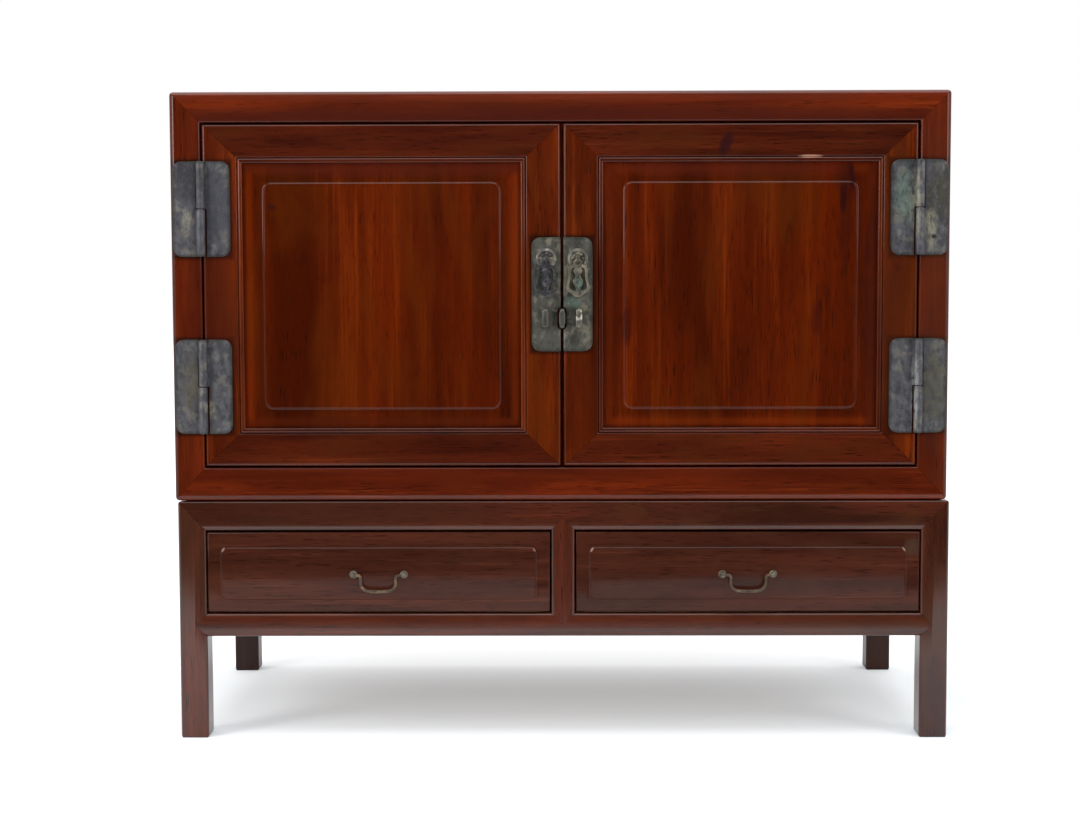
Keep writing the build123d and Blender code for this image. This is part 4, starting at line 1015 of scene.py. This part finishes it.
def sheet_plate(name, low, high, rounded):
    """A sheet plate with round outer corners, a filed rim and the waves of the hammer.

    rounded is -1 or 1, the side along X whose corners are round.
    """
    low, high = Vector(low), Vector(high)
    low.y, high.y = low.y + 0.15 * MM, high.y + SINK
    piece = start_block(name, low, high)
    outward = at_end(rounded, low.x, high.x)
    shape(piece)
    pick("EDGE", lambda at, run: abs(run.y) > 0.9 and abs(at.x - outward) < SAME)
    round_edges(PLATE_CORNER, 6)
    pick("EDGE", lambda at, run: abs(at.y - low.y) < SAME and abs(run.y) < 0.1)
    round_edges(PLATE_RIM, 2)
    for axis in (X, Z):
        count = round((high[axis] - low[axis]) / (6 * MM))
        for step in range(1, count):
            saw(AXES[axis] * (low[axis] + (high[axis] - low[axis]) * step / count), AXES[axis],
                keep_both=True)
    close()
    uneven(piece, 11 * MM, 0.55 * MM)
    return piece


def hinge_leaf(side, way, low):
    """One leaf: side is the door's side, way is 1 for the frame's leaf and -1 for the door's."""
    axis_x = CASE_X + side * HINGE_AXIS
    outward = side * way
    x = sorted((axis_x + outward * BARREL_ROOM, axis_x + outward * HINGE_LEAF))
    plate = sheet_plate("leaf", (x[0], PLATE_FACE, low), (x[1], WOOD_FACE, low + HINGE_HEIGHT),
                        outward)
    half = HINGE_HEIGHT / 2 - 0.3 * MM       # a knuckle's length, with play between the two
    start = low if way > 0 else low + HINGE_HEIGHT - half
    x = sorted((axis_x, axis_x + outward * (BARREL_ROOM + MM)))
    neck = start_block("neck", (x[0], PLATE_FACE, start + 0.2 * MM),
                       (x[1], WOOD_FACE, start + half - 0.2 * MM))
    length = half / MM
    knuckle = turned("knuckle", (axis_x, WOOD_FACE - BARREL, start), Z, [
        (0.3, 4.9), (0.6, 5.5), (1.4, 5.85), (length * 0.3, 5.8), (length * 0.7, 5.86),
        (length - 1.4, 5.9), (length - 0.6, 5.6), (length - 0.2, 5.0)])
    return [plate, neck, knuckle]


frame_leaves = []
for side, name in SIDES.items():
    door_leaves = []
    for low in HINGE_LOWS:
        frame_leaves += hinge_leaf(side, 1, low)
        door_leaves += hinge_leaf(side, -1, low)
    finish_piece(join(f"{name}_door_hinge_leaves_metal", door_leaves), f"{name}_door",
                 METALS["hinge"], [f"{name}_door_hinge_leaves"])
finish_piece(join("hinge_frame_leaves_metal", frame_leaves), "root",
             METALS["hinge"], ["hinge_frame_leaves"])


def staple(name, x, back_y, width, pill=False):
    """A loop of flat bar for the padlock; the middle one, a pill, is narrow where it turns back."""
    reach, half, bar_half, bend = 13, 13.25, 1.75, 5.0
    x, z, back_y = x / MM, LOCK_Z / MM, back_y / MM
    size = (width / 2, 1, bar_half)
    centre = PLATE_FACE / MM - reach + bend
    arm, tall = back_y - centre, 2 * (half - bend)
    down = [("on", (0, 0, -tall))]
    if pill:
        size = (width * 0.4, 1, bar_half)
        down = [("on", (0, 0, -1.2)), ("swell", (1.18, 1, 1)), ("on", (0, 0, -1.6)),
                ("swell", (1.06, 1, 1)), ("on", (0, 0, 5.6 - tall)), ("on", (0, 0, -1.6)),
                ("swell", (1 / 1.06, 1, 1)), ("on", (0, 0, -1.2)), ("swell", (1 / 1.18, 1, 1))]
    moves = ([("on", (0, -arm, 0)), ("bend", (x, centre, z + half - bend), X, 90)] + down
             + [("bend", (x, centre, z - half + bend), X, 90), ("on", (0, arm, 0))])
    return drawn(name, (x, back_y, z + half - bar_half), Y, size, moves, 20)


def rosette(name, x):
    """A chased rosette: a raised ring, eight petals and a round middle."""
    centre = (x, PLATE_FACE + 0.3 * MM, PULL_Z)
    disc = turned(name, centre, Y, [
        (0, 13.9), (-1.1, 13.9), (-1.8, 13.0), (-1.8, 12.6), (-2.9, 12.0), (-3.5, 11.1),
        (-3.3, 10.2), (-2.2, 9.5), (-1.7, 9.0), (-1.7, 4.0), (-3.0, 3.5), (-3.8, 2.4),
        (-3.8, 0.5)], 40)
    petal = start_ball("petal", (x, centre[Y] - 1.6 * MM, PULL_Z + 6.6 * MM), (1.9, 1.5, 2.6),
                       segments=12, rings=8)
    shape(petal)
    bpy.ops.mesh.select_all(action="SELECT")
    bpy.ops.mesh.spin(steps=8, dupli=True, angle=2 * math.pi, center=centre, axis=AXES[Y])
    bpy.ops.mesh.select_all(action="SELECT")
    bpy.ops.mesh.remove_doubles(threshold=SAME)
    turn_outwards()
    close()
    return join(name, [disc, petal])


def cotter(name, x):
    """The split pin that holds the pendant: an eye in front, a shank and clenched tails inside."""
    deselect()
    bpy.ops.mesh.primitive_torus_add(major_radius=EYE_RADIUS, minor_radius=EYE_WIRE * MM,
                                     major_segments=32, minor_segments=12,
                                     location=(x, EYE_Y, PULL_Z), rotation=FACING[X])
    eye = settle(name)
    inside = WOOD_FACE + 26 * MM
    shank = turned("shank", (x, 0, PULL_Z), Y, [
        ((EYE_Y + EYE_RADIUS) / MM, EYE_WIRE), (inside / MM + 0.8, EYE_WIRE)], 12)
    tails = start_block("tails", (x - 1.5 * MM, inside, PULL_Z - 14 * MM),
                        (x + 1.5 * MM, inside + 1.2 * MM, PULL_Z + 14 * MM))
    shape(tails)
    pick("EDGE", lambda at, run: abs(at.y - inside) > MM)
    round_edges(0.5 * MM, 2)
    close()
    return join(name, [eye, shank, tails])


# The pendant's lines, right half, in millimetres from the eye's middle: across and down.
RIM = [(2.4, 1.4), (5.7, 3.4), (5.8, 7.6), (10.6, 9.4), (12.8, 13.0), (12.8, 21.0), (13.6, 29.5),
       (15.6, 37.5), (15.0, 42.4), (11.6, 45.6), (8.0, 47.6), (4.4, 51.0)]
SLOT = [(2.0, 3.9), (2.0, 7.3)]
WINDOW = [(3.6, 12.0), (7.6, 12.4), (9.6, 16.0), (9.6, 22.0), (10.4, 29.5), (12.2, 36.6),
          (11.6, 40.4), (8.6, 42.8), (4.6, 43.8)]
VASE = [(3.2, 10.6), (3.4, 12.8), (5.6, 15.0), (5.8, 18.2), (3.4, 21.6), (3.4, 24.6), (6.2, 28.6),
        (6.6, 33.0), (4.4, 37.6), (2.8, 40.0), (3.8, 45.0)]
BOSSES = ((16.5, 4.2, 3.6), (32.6, 4.8, 5.2))        # down, half width and half height


def pierced(name, x, depth, rounding, lines):
    """A flat cast shape; the first line is its rim and the others are its openings."""
    curve = bpy.data.curves.new(name, "CURVE")
    curve.dimensions, curve.fill_mode, curve.resolution_u = "2D", "BOTH", 5
    curve.extrude, curve.bevel_depth, curve.bevel_resolution = depth / 2 - rounding, rounding, 2
    curve.offset = -rounding
    for line, handle in lines:
        whole = [(across, -down) for across, down in line]
        whole += [(-across, down) for across, down in reversed(whole)]
        spline = curve.splines.new("BEZIER")
        spline.bezier_points.add(len(whole) - 1)
        spline.use_cyclic_u = True
        for point, (across, up) in zip(spline.bezier_points, whole):
            point.co = (across * MM, up * MM, 0)
            point.handle_left_type = point.handle_right_type = handle
    piece = bpy.data.objects.new(name, curve)
    bpy.context.scene.collection.objects.link(piece)
    piece.location, piece.rotation_euler = (x, EYE_Y, PULL_Z), FACING[Y]
    take(piece)
    bpy.ops.object.convert(target="MESH")
    return settle(name)


def pendant(name, x):
    """A pierced pull: a rim, a vase in its window and two bosses on the vase."""
    rim = pierced(name, x, 3.0 * MM, 0.8 * MM, [(RIM, "AUTO"), (SLOT, "VECTOR"), (WINDOW, "AUTO")])
    vase = pierced("vase", x, 2.4 * MM, 0.7 * MM, [(VASE, "AUTO")])
    bosses = [start_ball("boss", (x, EYE_Y - 0.7 * MM, PULL_Z - down * MM), (wide, 1.5, tall),
                         segments=20, rings=12) for down, wide, tall in BOSSES]
    return join(name, [rim, vase] + bosses)


def ball_post(x, y, z):
    """A ball-headed post with a domed plate in front and a nut inside."""
    base, nut = (WOOD_FACE + 1 * MM - y) / MM, (WOOD_FACE + 21 * MM - y) / MM
    return turned("ball post", (x, y, z), Y, [
        (-3.9, 0.9), (-3.5, 1.9), (-2.6, 3.0), (-1.4, 3.75), (0, 4.0), (1.4, 3.75), (2.6, 3.0),
        (3.3, 2.2), (4.2, 2.0), (base - 1.8, 2.1), (base - 1.5, 3.0), (base - 0.9, 4.7),
        (base - 0.4, 5.4), (base + 0.5, 5.4), (base + 0.5, 2.0), (nut, 2.0), (nut, 6.0),
        (nut + 1.1, 6.0), (nut + 1.5, 5.4), (nut + 1.5, 2.0), (nut + 2.8, 2.0), (nut + 3.0, 1.6)],
        24)


def bail(name, x, y, z):
    """A drawn wire handle: thin pins in the balls, short shoulders, round bends, a thicker grip."""
    side, drop, bend, shoulder, start, tip = 24.0, 22.0, 11.5, 3.6, 30.6, 38.6
    x, y, z = x / MM, y / MM, z / MM
    fall = drop - bend - shoulder
    grip = side - bend
    moves = [("on", (tip - start, 0, 0)), ("swell", (1, 1.35, 1.35)),
             ("on", (start - side - shoulder, 0, 0)),
             ("bend", (x - side - shoulder, y, z - shoulder), Y, 90),
             ("on", (0, 0, -fall)), ("swell", (1.08, 1.08, 1)),
             ("bend", (x - side + bend, y, z - shoulder - fall), Y, -90),
             ("on", (grip * 0.55, 0, -0.5)), ("swell", (1, 1.16, 1.16)),
             ("on", (grip * 0.9, 0, 0)), ("swell", (1, 1 / 1.16, 1 / 1.16)),
             ("on", (grip * 0.55, 0, 0.5)),
             ("bend", (x + side - bend, y, z - shoulder - fall), Y, -90),
             ("swell", (1 / 1.08, 1 / 1.08, 1)), ("on", (0, 0, fall)),
             ("bend", (x + side + shoulder, y, z - shoulder), Y, 90),
             ("on", (start - side - shoulder, 0, 0)), ("swell", (1, 1 / 1.35, 1 / 1.35)),
             ("on", (tip - start, 0, 0))]
    return drawn(name, (x - tip, y, z), X, (1, 1.4, 1.4), moves, 14)


for side, name in SIDES.items():
    body = f"{name}_door"
    inner = MEETING_X + side * LOCK_PLATE_GAP
    x = sorted((inner, inner + side * LOCK_PLATE_WIDE))
    plate = sheet_plate(f"{name}_lock_plate_metal", (x[0], PLATE_FACE, LOCK_PLATE[0]),
                        (x[1], WOOD_FACE, LOCK_PLATE[1]), side)
    cut_away(plate, lock_notch())
    finish_piece(plate, body, METALS["plate"], [f"{name}_lock_plate"])
    loop = staple(f"{name}_lock_staple_metal", MEETING_X + side * STAPLE_OUT, WOOD_FACE + 18 * MM,
                  STAPLE_WIDE)
    # The right staple takes the lighter brass, whose brightness is painted glints.
    finish_piece(loop, body, METALS[at_end(side, "staple", "staple_bright")],
                 [f"{name}_lock_staple"])
    pull_x = MEETING_X + side * PULL_OUT
    finish_piece(rosette(f"{name}_pull_rosette_metal", pull_x), body,
                 METALS[f"rosette_{name}"], [f"{name}_pull_rosette"])
    finish_piece(cotter(f"{name}_pull_cotter_metal", pull_x), body,
                 METALS["pin"], [f"{name}_pull_cotter"])
    finish_piece(pendant(f"{name}_pendant_metal", pull_x), f"{name}_pendant",
                 METALS[f"pendant_{name}"], [f"{name}_pendant"])

    low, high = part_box(f"{name}_bail")
    bail_x = (low.x + high.x) / 2
    finish_piece(bail(f"{name}_bail_metal", bail_x, BAIL_Y, BAIL_Z), f"{name}_bail",
                 METALS["bail"], [f"{name}_bail"])
    posts = [ball_post(bail_x + way * BALL_OUT, BAIL_Y, BAIL_Z) for way in (-1, 1)]
    finish_piece(join(f"{name}_bail_posts_metal", posts), f"{name}_drawer",
                 METALS["ball"], [f"{name}_bail_posts"])
middle_staple = staple("centre_stile_staple_metal", MEETING_X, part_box("centre_stile_staple")[1].y,
                       STAPLE_WIDE, pill=True)
finish_piece(middle_staple, "root", METALS["staple"], ["centre_stile_staple"])

# ------------------------------------------------------------------ finishes of the nodes that stay
STAYING = {
    "cabinet_top_panel": "top_board", "cabinet_side_panels": "case_board",
    "cabinet_back_panels": "case_board", "cabinet_back_muntin": "case_upright",
    "cabinet_centre_stile": "case_upright", "cabinet_floor_panel": "inner_across",
    "cabinet_shelf": "inner_across", "cabinet_panel_battens": "inner_deep",
    "shelf_bearers": "inner_deep", "stand_end_panels": "stand_deep",
    "stand_back_panel": "stand_across", "drawer_divider": "box_deep", "drawer_runners": "box_deep"}
for name in SIDES.values():
    STAYING.update({f"{name}_door_battens": "inner_across", f"{name}_drawer_walls": "box_walls",
                    f"{name}_drawer_bottom": "box_across"})
for node, material in STAYING.items():
    paint(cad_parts[node], WOODS[material])
paint(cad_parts["hinge_pins"], METALS["pin"])


# ------------------------------------------------------------------ floor, light and camera
FLOOR_NEAR, FLOOR_FRONT, FLOOR_FAR, FLOOR_WIDE = -12.0, -0.9, 14.0, 24
# The floor glows with painted light: faint and bluish in the band under the object where its shadow
# falls, brighter beside that band and brighter still far off.
paper = Finish("white studio floor")
distant = paper.between(paper.along(X) * paper.along(X) + paper.along(Y) * paper.along(Y),
                        3.0, 16.0)
beside = paper.between(abs(paper.along(Y) + 0.12), 0.12, 0.55)
under = paper.mix(beside, (0.155, 0.195, 0.225, 1), (0.28, 0.29, 0.3, 1))
paper.set(Base_Color=(0.85, 0.855, 0.86, 1), Roughness=0.9, Emission_Strength=1.0,
          Emission_Color=paper.mix(distant, under, (0.6, 0.6, 0.6, 1)))


def floor_sheet(name, low_y, high_y):
    deselect()
    bpy.ops.mesh.primitive_plane_add(size=1, location=(0, (low_y + high_y) / 2, 0))
    bpy.context.object.scale = (FLOOR_WIDE, high_y - low_y, 1)
    sheet = settle(name)
    paint(sheet, paper.material)
    return sheet


floor_sheet("studio_floor", FLOOR_FRONT, FLOOR_FAR)
# The polish mirrors the floor near the object alone.
floor_sheet("studio_floor_front", FLOOR_NEAR, FLOOR_FRONT).visible_glossy = False

world = bpy.data.worlds.new("studio")
bpy.context.scene.world = world
world.use_nodes = True
studio = Nodes(world.node_tree)
studio.tree.nodes.clear()

# The studio behind the camera is dark, so that polished faces keep their colour. The first angle
# is half of the dark part's and the second half of the dusk's around it.
DARK, DUSK = math.radians(32), math.radians(66)
way = studio.node("ShaderNodeSeparateXYZ", {}, {
    0: studio.node("ShaderNodeTexCoord").outputs["Generated"]})
shade = studio.node("ShaderNodeMapRange", {"interpolation_type": "SMOOTHSTEP"}, {
    "Value": way.outputs["Y"], "From Min": -math.cos(DARK), "From Max": -math.cos(DUSK),
    "To Min": 0.004, "To Max": 1.0})
path = studio.node("ShaderNodeLightPath")
seen = studio.node("ShaderNodeMix", {"data_type": "FLOAT"}, {
    0: path.outputs["Is Camera Ray"], 2: shade.outputs[0], 3: 1.0})
background = studio.node("ShaderNodeBackground", {}, {
    "Color": (1, 1, 1, 1), "Strength": seen.outputs[0]})
studio.node("ShaderNodeOutputWorld", {}, {"Surface": background.outputs[0]})


def softbox(name, location, target, width, height, power):
    light = bpy.data.lights.new(name, "AREA")
    light.shape = "RECTANGLE"
    light.size, light.size_y, light.energy = width, height, power
    lamp = bpy.data.objects.new(name, light)
    bpy.context.scene.collection.objects.link(lamp)
    lamp.location = location
    lamp.rotation_euler = (Vector(target) - Vector(location)).to_track_quat("-Z", "Y").to_euler()
    return lamp


softbox("overhead", (0, -0.4, 3.2), (0, 0, 0.4), 3.0, 2.2, 60)
softbox("left_bank", (-2.0, -1.55, 1.35), (0, 0, 0.5), 0.7, 1.3, 21)
softbox("right_bank", (2.0, -1.55, 1.35), (0, 0, 0.5), 0.7, 1.3, 11)
softbox("front_fill", (0, -2.6, 1.1), (0, 0, 0.1), 2.4, 1.2, 28).visible_glossy = False

TIPPED, ROLLED, SWUNG = 0.0728, 0.00264, 0.00764     # how the camera is turned, in radians
camera_data = bpy.data.cameras.new("camera")
camera = bpy.data.objects.new("camera", camera_data)
bpy.context.scene.collection.objects.link(camera)
camera_data.lens, camera_data.sensor_width = 61.82, 36.0
camera.location = (-0.0096, -2.7574, 0.6421)
camera.rotation_mode = "XYZ"
camera.rotation_euler = (QUARTER - TIPPED, ROLLED, SWUNG)
bpy.context.scene.camera = camera
bpy.context.scene.view_settings.view_transform = "Standard"
